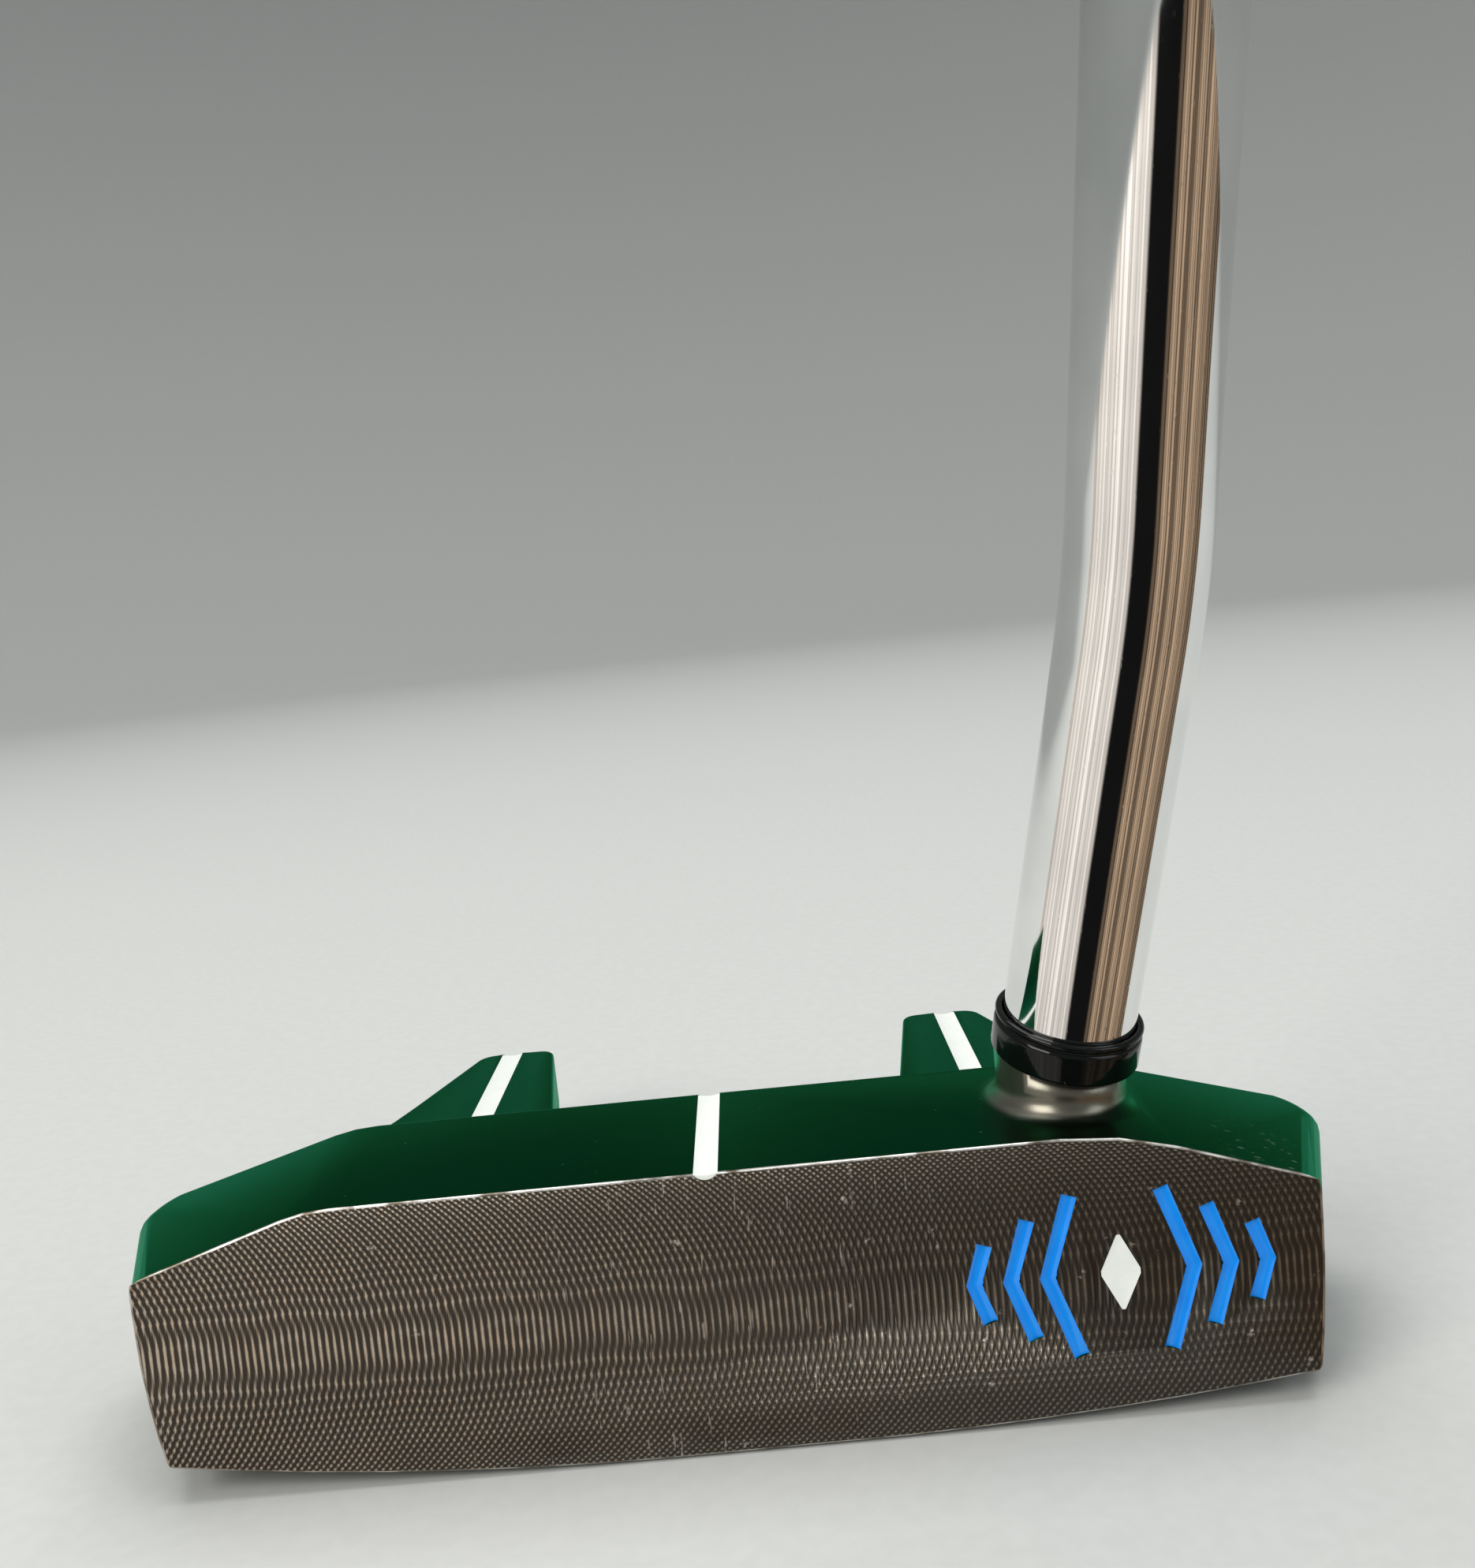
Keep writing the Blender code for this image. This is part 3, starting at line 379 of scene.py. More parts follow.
def plain(source):
    """The mesh that source shows, as a new object in its place, without modifiers."""
    graph = bpy.context.evaluated_depsgraph_get()
    mesh = bpy.data.meshes.new_from_object(source.evaluated_get(graph))
    name = source.name
    bpy.data.objects.remove(source, do_unlink=True)
    return linked(name, mesh)


def welded(obj, distance=0.002):
    work = bmesh.new()
    work.from_mesh(obj.data)
    bmesh.ops.remove_doubles(work, verts=work.verts, dist=distance * MM)
    bmesh.ops.recalc_face_normals(work, faces=work.faces)
    work.to_mesh(obj.data)
    work.free()
    return obj


def smooth(obj, angle=35.0):
    obj.data.shade_smooth()
    obj.data.set_sharp_from_angle(angle=math.radians(angle))
    return obj


def skin(name, rings, closed=False, filled=True, round_rings=True):
    """A skin through rings of points in millimetres; a ring of one point is a pole."""
    work = bmesh.new()
    rows = [[work.verts.new(Vector(point) * MM) for point in ring] for ring in rings]
    pairs = list(zip(rows, rows[1:]))
    if closed:
        pairs.append((rows[-1], rows[0]))
    for lower, upper in pairs:
        count = max(len(lower), len(upper))
        for k in range(count if round_rings else count - 1):
            n = (k + 1) % count
            corners = [lower[k % len(lower)], lower[n % len(lower)]]
            corners += [upper[n % len(upper)], upper[k % len(upper)]]
            work.faces.new(list(dict.fromkeys(corners)))
    if filled and not closed:
        for row in (rows[0], rows[-1]):
            if len(row) > 2:
                work.faces.new(row)
    bmesh.ops.recalc_face_normals(work, faces=work.faces)
    mesh = bpy.data.meshes.new(name)
    work.to_mesh(mesh)
    work.free()
    return linked(name, mesh)


def circle(radius, height, sides, place=None, lobes=0, wave=0.0):
    """A level ring, or one point where the radius is 0; lobes make it a rosette."""
    if radius == 0.0:
        ring = [Vector((0.0, 0.0, height))]
    else:
        ring = []
        for k in range(sides):
            angle = 2.0 * math.pi * k / sides
            reach = radius * (1.0 + wave * math.cos(lobes * angle))
            ring.append(Vector((reach * math.cos(angle), reach * math.sin(angle), height)))
    return ring if place is None else [place @ point for point in ring]


def lathe(name, profile, place, sides=96):
    """A turned piece; profile lists (radius, height) or (radius, height, lobes, wave)."""
    rings = [circle(entry[0], entry[1], sides, place, *entry[2:]) for entry in profile]
    return skin(name, rings, closed=profile[0][0] > 0.0)


def arc(centre, radius, start, end, pieces):
    """Points (x, y) of an arc, with its angles in degrees."""
    points = []
    for k in range(pieces + 1):
        angle = math.radians(start + (end - start) * k / pieces)
        points.append((centre[0] + radius * math.cos(angle), centre[1] + radius * math.sin(angle)))
    return points


def line_curve(name, points, cyclic=False):
    """A poly curve through points in millimetres."""
    data = bpy.data.curves.new(name, "CURVE")
    data.dimensions = "3D"
    spline = data.splines.new("POLY")
    spline.points.add(len(points) - 1)
    for point, position in zip(spline.points, points):
        point.co = (*(Vector(position) * MM), 1.0)
    spline.use_cyclic_u = cyclic
    return linked(name, data)


def finished(obj, slot, *nodes):
    """Hand a piece over: it stands for nodes; slot is not used."""
    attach(obj, "root")
    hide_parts(*nodes)
    return obj


# Places

def millimetre_frame(x, y, z, origin):
    placed = Matrix((x, y, z)).transposed().to_4x4()
    placed.translation = origin
    return placed


def face_frame():
    """X across the face, Y up it, Z out of it, from the leading edge."""
    across = Vector((1.0, 0.0, 0.0))
    up = Vector((0.0, math.sin(LOFT), math.cos(LOFT)))
    return millimetre_frame(across, up, across.cross(up), Vector((0.0, LEADING_EDGE, 0.0)))


def axis_frame(origin, direction):
    """Z along direction, X kept as near to +X as it goes."""
    z = direction.normalized()
    y = z.cross(Vector((1.0, 0.0, 0.0))).normalized()
    return millimetre_frame(y.cross(z), y, z, origin)


def ferrule_frame():
    """Foot of the ferrule, a gap above the neck and square to the shaft's axis."""
    seat = axis_frame(HOSEL_FOOT + TIP_LEAN.normalized() * NECK_HEIGHT, TIP_LEAN)
    return seat @ Matrix.Translation((0.0, 0.0, SEAT_GAP))


def upper_axis():
    return Vector((math.cos(LIE), 0.0, math.sin(LIE)))


def shaft_corners():
    """Tip, both bends and butt of the shaft's centre line."""
    tip = ferrule_frame() @ Vector((0.0, 0.0, FERRULE_FLOOR + SEAT_GAP))
    first = HOSEL_FOOT + TIP_LEAN * (FIRST_BEND_HEIGHT - HOSEL_FOOT.z)
    second = first + MID_LEAN * (SECOND_BEND_HEIGHT - FIRST_BEND_HEIGHT)
    ground = second - upper_axis() * (second.z / upper_axis().z)
    return tip, first, second, ground + upper_axis() * CLUB_LENGTH


def upper_frame(distance):
    """A frame on the upper shaft, distance above the ground, Z towards the butt."""
    butt = shaft_corners()[3]
    return axis_frame(butt - upper_axis() * (CLUB_LENGTH - distance), upper_axis())


def bend(before, corner, after, pieces=20):
    """Points of the arc that rounds corner."""
    inward = (before - corner).normalized()
    outward = (after - corner).normalized()
    opening = inward.angle(outward)
    reach = BEND_RADIUS / math.tan(opening / 2.0)
    centre = corner + (inward + outward).normalized() * BEND_RADIUS / math.sin(opening / 2.0)
    start = corner + inward * reach - centre
    axis = start.cross(corner + outward * reach - centre).normalized()
    turn = math.pi - opening
    return [centre + Matrix.Rotation(turn * k / pieces, 3, axis) @ start for k in range(pieces + 1)]


# Finishes

def milled_finish(settings):
    """Fly-cut bronze: crossing cutter arcs, ridges lighter and valleys darker partly from wear and
    partly as painted highlight and shade, painted shade towards the heel, painted glints, handling
    marks.
    """
    f = Finish("Milled bronze")
    x, _, up = f.axes()
    pitch = settings.cut_pitch / MM
    radius = settings.cut_radius / MM
    wander = (f.noise(0.16, 1.0) - 0.5) * 0.35
    level = 11.2 - 0.012 * (x + 44.0)
    rise = up - level
    reach = (radius * radius - rise * rise).most(1.0).root()
    first = ((x - reach + wander) / pitch).fraction() - 0.5
    second = ((x + reach - wander * 0.6) / pitch).fraction() - 0.5
    height = first.size().least(second.size()) * 2.0
    last_pass = (first.size() * 2.0).between(0.62, 1.0)
    ridge = height.between(0.34, 0.88).most(last_pass * 0.42)
    tooth = f.noise(5.5, 3.0, f.stretched(f.place, (1.0, 1.0, 0.35)))
    broad = f.noise(0.11, 2.0)
    cloud = f.noise(0.55, 2.0)
    worn = broad * 0.5 + cloud * 0.4 + 0.55
    # Painted shade: the face is darker towards the heel.
    painted_heel_shade = x.between(-62.0, 28.0)
    # Painted light: the ridges are lighter partly from wear and partly as a painted highlight, and
    # all of it is darkened towards the heel as painted shade.
    ridge_wear_and_painted_light = (ridge * (tooth * 0.7 + 0.65) * worn * (1.38 - painted_heel_shade * 1.02)).least(1.0)
    bronze = settings.bronze
    # The dark valleys set off the worn ridges and are partly painted shade.
    valley_wear_and_painted_shade = tuple(channel * 0.11 for channel in bronze)
    warm = (bronze[0] * 1.06, bronze[1] * 0.99, bronze[2] * 0.90)
    ridge_colour = f.mixed(cloud.between(0.35, 0.7), bronze, warm)
    colour = f.mixed(ridge_wear_and_painted_light, valley_wear_and_painted_shade, ridge_colour)
    upright = f.stretched(f.place, (1.0, 1.0, 0.09))
    scratch = f.noise(3.4, 2.0, upright).between(0.66, 0.72)
    middle = 1.0 - (x * 0.045).size().least(1.0)
    scratch = scratch * middle.most(0.15) * 0.55
    flecks = f.dots(0.34, 0.06, 0.16)
    fleck = flecks * f.noise(1.9, 2.0).between(0.52, 0.66)
    # Painted glints: near-white highlights on the ridges, fading towards the heel.
    painted_glint = ridge * ridge * f.noise(8.5, 2.0).between(0.53, 0.66) * (0.75 - painted_heel_shade * 0.5)
    # The marks are real scratches and flecks together with the painted glints.
    marks = (scratch + fleck * 0.8 + painted_glint).least(1.0)
    colour = f.mixed(marks * 0.65, colour, (0.86, 0.82, 0.74))
    roughness = 0.40 - ridge * 0.08 + tooth * 0.10
    grain = f.noise(14.0, 2.0)
    cut = f.relief(height + grain * 0.12, 0.085, 0.9)
    return f.close(base_color=colour, metallic=0.92, roughness=roughness, normal=cut)


def bare_edge_and_painted_highlight_finish():
    """Bare steel where the coat is worn off an edge, in patches, more of it towards the top; the
    bright edge is partly wear and partly a painted highlight.
    """
    f = Finish("Bare worn edge")
    up = f.axes()[2]
    patch = f.noise(0.42, 3.0).between(0.34, 0.62)
    high = up.between(14.0, 20.5)
    # Painted highlight: the bright steel along the edge is partly real wear and partly stands in
    # for the light the edge catches.
    bare_wear_and_painted_highlight = (patch * (0.45 + high * 0.75)).least(1.0)
    fine = f.noise(9.0, 2.0)
    colour = f.mixed(bare_wear_and_painted_highlight, (0.20, 0.17, 0.13), (0.92, 0.90, 0.85))
    return f.close(
        base_color=colour, metallic=0.95, roughness=0.26 + fine * 0.18,
        normal=f.relief(fine, 0.02, 0.6),
    )


def coat_with_painted_light_finish(settings):
    """Smooth semi-gloss black coat whose dark green is a painted reflection, lighter and greener at
    the toe end, with a painted dark reflection in front of the neck and a lighter bronze round the
    neck that is partly a painted highlight.
    """
    f = Finish("Satin coat")
    x, depth, up = f.axes()
    climb = up - HOSEL_FOOT.z
    off_x = x - HOSEL_FOOT.x - climb * TIP_LEAN.x
    off_y = depth - HOSEL_FOOT.y - climb * TIP_LEAN.y
    off_axis = (off_x * off_x + off_y * off_y).root()
    neck = (1.0 - off_axis.between(5.5, 6.8)) * up.between(21.9, 22.3)
    toe_end = 1.0 - x.between(-43.0, -31.0)
    heel_end = x.between(38.0, 44.0)
    fang = depth.between(9.0, 14.0)
    cloud = f.noise(0.22, 3.0)
    # Painted reflection: the coat's dark green, and the lighter and greyer tones made from it,
    # stand on a black coat.
    satin = settings.satin
    lighter = (satin[0] * 3.0, satin[1] * 1.75, satin[2] * 1.9)
    greyer = (satin[0] * 4.0, satin[1] * 1.05, satin[2] * 1.55)
    colour = f.mixed(cloud.between(0.35, 0.7) * 0.35, satin, greyer)
    colour = f.mixed(fang * 0.75, colour, greyer)
    colour = f.mixed((toe_end + heel_end * 0.4) * 0.8, colour, lighter)
    # Painted reflection: the top just in front of the neck is darkened where the dark neck is
    # mirrored in it.
    before_neck = x.between(20.5, 23.5) * (1.0 - x.between(33.5, 36.5))
    shade = before_neck * (1.0 - depth.between(-2.0, 3.0)) * up.between(20.5, 21.5)
    colour = f.mixed(shade * 0.9, colour, (0.018, 0.017, 0.013))
    # The lighter bronze round the neck is partly a painted highlight.
    colour = f.mixed(neck, colour, (0.21, 0.195, 0.16))
    specks = f.dots(1.15, 0.05, 0.13)
    thin = f.noise(1.3, 1.0).between(0.56, 0.68)
    speck = specks * thin
    heel_corner = x.between(38.5, 41.0) * (1.0 - x.between(44.5, 46.5)) * up.between(12.0, 17.0)
    streaks = f.noise(1.5, 2.0, f.stretched(f.place, (0.45, 1.7, 1.7))).between(0.64, 0.70)
    scuff = streaks * heel_corner * (1.0 - depth.between(-4.0, 4.0)) * 0.7
    marks = (speck * 0.5 + scuff * 0.75).least(1.0)
    colour = f.mixed(marks, colour, (0.42, 0.45, 0.38))
    grain = f.noise(7.0, 3.0)
    rough = 0.30 + grain * 0.07 - neck * 0.04 + scuff * 0.12
    mottle = f.relief(grain * 0.35 + cloud * 0.5 + marks * 0.4, 0.018, 0.5)
    # The green specular tint is also a painted reflection.
    return f.close(
        base_color=colour, metallic=0.9, roughness=rough, normal=mottle,
        specular_tint=(0.01, 1.0, 0.55),
    )


def paint_finish(name, colour, shade, roughness, dirt):
    """Glossy enamel that has levelled in its groove, with dust and fine pits."""
    f = Finish(name)
    broad = f.noise(0.5, 2.0)
    fine = f.noise(6.0, 3.0)
    specks = f.dots(2.2, 0.06, 0.16) * f.noise(1.1).between(0.5, 0.62)
    tone = f.mixed(broad.between(0.35, 0.75) * 0.5, colour, shade)
    tone = f.mixed(specks * dirt, tone, (0.10, 0.10, 0.08))
    return f.close(
        base_color=tone, roughness=roughness + fine * 0.10,
        normal=f.relief(broad * 0.6 + fine * 0.15, 0.05, 0.35),
        specular_ior_level=0.6,
    )


def ferrule_finish():
    f = Finish("Gloss black ring")
    fine = f.noise(4.0, 3.0)
    dust = f.dots(1.6, 0.04, 0.10) * f.noise(0.9).between(0.55, 0.65)
    colour = f.mixed(dust * 0.5, (0.0035, 0.0045, 0.004), (0.16, 0.17, 0.15))
    return f.close(
        base_color=colour, roughness=0.06 + fine * 0.05, specular_ior_level=0.28,
        normal=f.relief(fine, 0.01, 0.3),
    )


def chrome_finish():
    """Bright chrome with faint polishing waves and a few hairlines."""
    f = Finish("Chrome plate")
    wave = f.noise(0.16, 2.0)
    fine = f.noise(5.0, 3.0)
    along = f.stretched(f.place, (2.6, 2.6, 0.12))
    hair = f.noise(2.4, 2.0, along).between(0.68, 0.74)
    colour = f.mixed(wave.between(0.3, 0.7), (0.80, 0.81, 0.80), (0.87, 0.875, 0.86))
    return f.close(
        base_color=colour, metallic=1.0, roughness=0.035 + fine * 0.03 + hair * 0.06,
        normal=f.relief(wave * 0.8 + hair * 0.05, 0.03, 0.25),
    )


def steel_finish():
    """Turned stainless steel of the sole weights."""
    f = Finish("Turned steel")
    x, depth, _ = f.axes()
    offset = x.size() - WEIGHT_OFFSET
    radius = (offset * offset + depth * depth).root()
    rings = (radius * 24.0).wave() * 0.5 + 0.5
    fine = f.noise(5.0, 3.0)
    grey = f.mixed(fine.between(0.3, 0.7), (0.46, 0.455, 0.44), (0.60, 0.595, 0.575))
    return f.close(
        base_color=grey, metallic=1.0, roughness=0.24 + fine * 0.14 + rings * 0.05,
        normal=f.relief(rings * 0.7 + fine * 0.3, 0.012, 0.6),
    )


def rubber_finish():
    f = Finish("Grip rubber")
    fine = f.noise(3.2, 4.0)
    broad = f.noise(0.06, 2.0)
    pores = f.cells(2.6).between(0.0, 0.35)
    cloud = broad.between(0.35, 0.7) * 0.6 + fine * 0.3
    colour = f.mixed(cloud, (0.012, 0.0125, 0.012), (0.030, 0.030, 0.028))
    return f.close(
        base_color=colour, roughness=0.62 + fine * 0.20 - broad * 0.06, specular_ior_level=0.35,
        normal=f.relief(fine * 0.6 + pores * 0.4, 0.08, 0.6),
    )


def grained_finish(name, scale, first, second, rough, height, strength, shine=0.5):
    """A plain moulded surface, clouded between two colours by one fine grain."""
    f = Finish(name)
    fine = f.noise(scale, 3.0)
    return f.close(
        base_color=f.mixed(fine.between(0.3, 0.7), first, second),
        roughness=rough[0] + fine * rough[1], specular_ior_level=shine,
        normal=f.relief(fine, height, strength),
    )


def cap_finish():
    dark, pale = (0.010, 0.010, 0.010), (0.022, 0.022, 0.021)
    return grained_finish("Moulded cap", 4.0, dark, pale, (0.36, 0.14), 0.04, 0.5, 0.45)


def nylon_finish():
    dark, pale = (0.66, 0.65, 0.59), (0.78, 0.77, 0.72)
    return grained_finish("Nylon washer", 3.0, dark, pale, (0.45, 0.15), 0.03, 0.4)


def epoxy_finish():
    f = Finish("Set adhesive")
    fine = f.noise(1.2, 3.0)
    bubbles = f.dots(1.4, 0.05, 0.25)
    colour = f.mixed(fine.between(0.3, 0.7), (0.50, 0.42, 0.22), (0.62, 0.55, 0.33))
    return f.close(
        base_color=colour, roughness=0.28 + fine * 0.2,
        normal=f.relief(fine * 0.6 - bubbles * 0.4, 0.08, 0.5),
    )


def tape_finish():
    """Crossed paper fibres of the tape under the grip."""
    f = Finish("Grip tape")
    fibres = f.noise(3.0, 4.0, f.stretched(f.place, (1.0, 1.0, 0.2)))
    fine = f.noise(7.0, 3.0)
    colour = f.mixed(fibres.between(0.3, 0.7), (0.56, 0.50, 0.38), (0.70, 0.65, 0.52))
    return f.close(
        base_color=colour, roughness=0.70 + fine * 0.18,
        normal=f.relief(fibres * 0.7 + fine * 0.3, 0.05, 0.5),
    )


def floor_finish(pale):
    f = Finish("Pale studio floor")
    fine = f.noise(0.6, 2.0)
    darker = tuple(channel * 0.97 for channel in pale)
    tone = f.mixed(fine.between(0.3, 0.7), pale, darker)
    return f.close(base_color=tone, roughness=0.75 + fine * 0.1, specular_ior_level=0.2)


# Pieces

def on_face(point, margin=0.01):
    """Whether a point in millimetres lies on the plane of the striking face."""
    return abs((face_frame().inverted() @ point).z) < margin


def in_ornament(point):
    """Whether a point in millimetres lies in the part of the face that is painted."""
    return abs(point.x - ORNAMENT_CENTRE[0]) < 12.8 and 4.0 < point.z < 18.3


def edge_weight(start, end):
    """How much of the full rounding an edge between two points takes, 0 to 1."""
    middle = (start + end) / 2.0
    x, y, z = middle
    if on_face(start) and on_face(end):
        if in_ornament(middle):
            return 0.0
        if abs(x) < 1.1 and z > 20.5:
            return 0.0
        return FACE_SHARE
    if abs(x) < 1.1 and z > 20.5:
        return 0.0
    if abs(abs(x) - FANG_LINE_OFFSET) < 1.4 and z > 10.2 and y > 16.0:
        return 0.0
    if math.hypot(abs(x) - WEIGHT_OFFSET, y) < 6.8 and z < 12.0:
        return 0.0
    axis = HOSEL_FOOT + TIP_LEAN * (z - HOSEL_FOOT.z)
    if z > 22.0 and math.hypot(x - axis.x, y - axis.y) < 7.4:
        return 0.0
    if abs(x) > 40.0 and z > 12.0:
        along = (end - start).normalized()
        sideways = abs(along.y) / max(math.hypot(along.x, along.y), 0.01)
        return EDGE_SHARE + (1.0 - EDGE_SHARE) * min(1.0, sideways ** 1.6 * 1.1)
    return EDGE_SHARE


class PUTTER_OT_head(bpy.types.Operator):
    """Round the head's edges and give it its milled face and semi-gloss black coat, both with
    painted light and shade
    """

    bl_idname = "putter.head"
    bl_label = "Head"

    def execute(self, context):
        settings = context.scene.putter_head
        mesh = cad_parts["head_body"].data.copy()
        body = linked("milled_head", mesh)
        work = bmesh.new()
        work.from_mesh(mesh)
        bmesh.ops.remove_doubles(work, verts=work.verts, dist=0.002 * MM)
        bmesh.ops.dissolve_limit(
            work, angle_limit=FLAT_ANGLE, verts=work.verts, edges=work.edges, delimit={"NORMAL"},
        )
        loose = sum(1 for edge in work.edges if len(edge.link_faces) != 2)
        if loose:
            raise RuntimeError(f"the head's skin has {loose} open edges")
        weights = work.edges.layers.float.new("bevel_weight_edge")
        for edge in work.edges:
            if not edge.is_convex or edge.calc_face_angle(0.0) < ROUNDED_ANGLE:
                continue
            ends = [vertex.co / MM for vertex in edge.verts]
            edge[weights] = edge_weight(*ends)
        work.to_mesh(mesh)
        work.free()
        rounding = body.modifiers.new("Edge rounding", "BEVEL")
        rounding.limit_method = "WEIGHT"
        rounding.width = settings.edge_round
        rounding.segments = 4
        rounding.use_clamp_overlap = False
        rounding.loop_slide = False
        rounding.miter_outer = "MITER_ARC"
        body = plain(body)
        smooth(body, 38.0)
        mesh = body.data
        mesh.materials.clear()
        for finish in (coat_with_painted_light_finish(settings), milled_finish(settings), bare_edge_and_painted_highlight_finish()):
            mesh.materials.append(finish)
        plane = face_frame().inverted()
        for polygon in mesh.polygons:
            corners = [plane @ (mesh.vertices[i].co / MM) for i in polygon.vertices]
            lowest = min(corner.z for corner in corners)
            highest = max(corner.z for corner in corners)
            if lowest > -0.004 and highest < 0.004:
                polygon.material_index = 1
            elif lowest > -0.25:
                polygon.material_index = 0 if in_ornament(polygon.center / MM) else 2
        finished(body, "head_black", "head_body")
        return {"FINISHED"}


def bowl_profile(width, depth, sag):
    """Section of a paint fill: groove's arc below, a sagging skin above; +Y is depth."""
    radius = (width * width / 4.0 + depth * depth) / (2.0 * depth)
    half = math.degrees(math.asin(width / 2.0 / radius))
    low = arc((0.0, depth - radius), radius, 90.0 - half, 90.0 + half, 14)
    top_radius = (width * width / 4.0 + sag * sag) / (2.0 * sag)
    top_half = math.degrees(math.asin(width / 2.0 / top_radius))
    skin_arc = arc((0.0, sag - top_radius), top_radius, 90.0 + top_half, 90.0 - top_half, 14)
    return low + skin_arc[1:-1]


def sweep_recipe(name, material):
    """Geometry Nodes that sweep a section along a line, with filled ends."""
    recipe = Recipe(name, {"Section": "Object", "Cuts": "Int"})
    finer = recipe.add(
        "GeometryNodeSubdivideCurve",
        inputs={"Curve": recipe.inputs["Geometry"], "Cuts": recipe.inputs["Cuts"]},
    )
    level = recipe.add("GeometryNodeSetCurveNormal", {"mode": "Z_UP"}, {0: finer.outputs[0]})
    section = recipe.add("GeometryNodeObjectInfo", inputs={"Object": recipe.inputs["Section"]})
    swept = recipe.add("GeometryNodeCurveToMesh", inputs={
        "Curve": level.outputs[0], "Profile Curve": section.outputs["Geometry"], "Fill Caps": True,
    })
    recipe.end(swept.outputs[0], material)
    return recipe


def sweep(recipe, name, path, section, cuts, place=None):
    """Run a sweep recipe along path; both helper curves go afterwards."""
    shape = line_curve(f"{name}_section", [(x, y, 0.0) for x, y in section], cyclic=True)
    piece = recipe.make(line_curve(name, path), {"Section": shape, "Cuts": cuts})
    bpy.data.objects.remove(shape, do_unlink=True)
    if place is not None:
        in_metres = place.copy()
        in_metres.translation = place.translation * MM
        piece.data.transform(in_metres)
    return smooth(welded(piece), 50.0)


class PUTTER_OT_lines(bpy.types.Operator):
    """Sweep the white paint along the alignment grooves"""

    bl_idname = "putter.lines"
    bl_label = "Alignment lines"

    def execute(self, context):
        settings = context.scene.putter_paint
        white = paint_finish("White enamel", settings.white, (0.88, 0.92, 0.86), 0.22, 0.5)
        recipe = sweep_recipe("Groove fill", white)
        sag = settings.sag / MM
        front = LEADING_EDGE + TOP_HEIGHT * math.tan(LOFT) + FINE
        back = BAR_DEPTH + LEADING_EDGE - LINE_INSET
        rise = TOP_RISE * (back - front)
        section = bowl_profile(SIGHT_WIDTH - FINE, LINE_DEPTH - FINE, sag * 0.8)
        run = [(0.0, front, TOP_HEIGHT), (0.0, back, TOP_HEIGHT + rise)]
        sight = sweep(recipe, "sight_line_paint", run, section, 20)
        finished(sight, "paint_white", "top_sight_line")
        section = bowl_profile(FANG_LINE_WIDTH - FINE, LINE_DEPTH - FINE, sag)
        start = FANG_LINE_START + LEADING_EDGE + 0.3
        end = HEAD_DEPTH + LEADING_EDGE - LINE_INSET
        for side, where in ((-1.0, "toe"), (1.0, "heel")):
            x = side * FANG_LINE_OFFSET
            run = [(x, start, FANG_TOP), (x, end, FANG_TOP)]
            line = sweep(recipe, f"{where}_fang_paint", run, section, 30)
            finished(line, "paint_white", f"{where}_fang_line")
        return {"FINISHED"}


def chevron_points(side, rank):
    """Corners of a chevron in face coordinates; side is +1 towards the heel."""
    half = CHEVRON_HEIGHTS[rank] / 2.0
    tip = side * (CHEVRON_FIRST + CHEVRON_PITCH * rank + CHEVRON_SWEEP * half)
    arm = tip - side * CHEVRON_SWEEP * half
    x, y = ORNAMENT_CENTRE
    return [(x + arm, y - half, 0.0), (x + tip, y, 0.0), (x + arm, y + half, 0.0)]


def lozenge_ring(share, height, pieces=8):
    """Points along the lozenge's outline, drawn in by share, at a height over the face."""
    x, y = ORNAMENT_CENTRE
    wide, tall = LOZENGE[0] / 2.0 - 0.03, LOZENGE[1] / 2.0 - 0.06
    corners = [(wide, 0.0), (0.0, tall), (-wide, 0.0), (0.0, -tall)]
    ring = []
    for (ax, ay), (bx, by) in zip(corners, corners[1:] + corners[:1]):
        for k in range(pieces):
            t = (k + 0.5) / pieces
            across, up = ax + (bx - ax) * t, ay + (by - ay) * t
            ring.append((x + share * across, y + share * up, height))
    return ring


class PUTTER_OT_ornament(bpy.types.Operator):
    """Fill the face's chevrons with blue enamel and its lozenge with white"""

    bl_idname = "putter.ornament"
    bl_label = "Face ornament"

    def execute(self, context):
        settings = context.scene.putter_paint
        blue = paint_finish("Blue enamel", settings.blue, (0.005, 0.24, 0.92), 0.08, 0.35)
        white = paint_finish("White enamel centre", settings.white, (0.88, 0.91, 0.86), 0.24, 0.45)
        recipe = sweep_recipe("Chevron fill", blue)
        sag = settings.sag / MM * 1.2
        section = bowl_profile(CHEVRON_WIDTH - FINE, ORNAMENT_DEPTH - FINE, sag)
        for side, where in ((-1.0, "toe"), (1.0, "heel")):
            for rank, which in enumerate(("inner", "middle", "outer")):
                name = f"chevron_paint_{where}_{which}"
                piece = sweep(recipe, name, chevron_points(side, rank), section, 8, face_frame())
                finished(piece, "paint_blue", f"chevron_{where}_{which}")
        x, y = ORNAMENT_CENTRE
        bottom = 0.04 - ORNAMENT_DEPTH
        rings = [[(x, y, -0.10)]]
        dished = ((0.35, -0.095), (0.7, -0.075), (0.9, -0.045), (1.0, -0.012), (1.0, bottom))
        rings += [lozenge_ring(share, height) for share, height in dished]
        rings.append([(x, y, bottom)])
        place = face_frame()
        placed = [[place @ Vector(point) for point in ring] for ring in rings]
        centre = smooth(skin("lozenge_paint", placed), 45.0)
        centre.data.materials.append(white)
        finished(centre, "paint_white", "badge_lozenge")
        return {"FINISHED"}


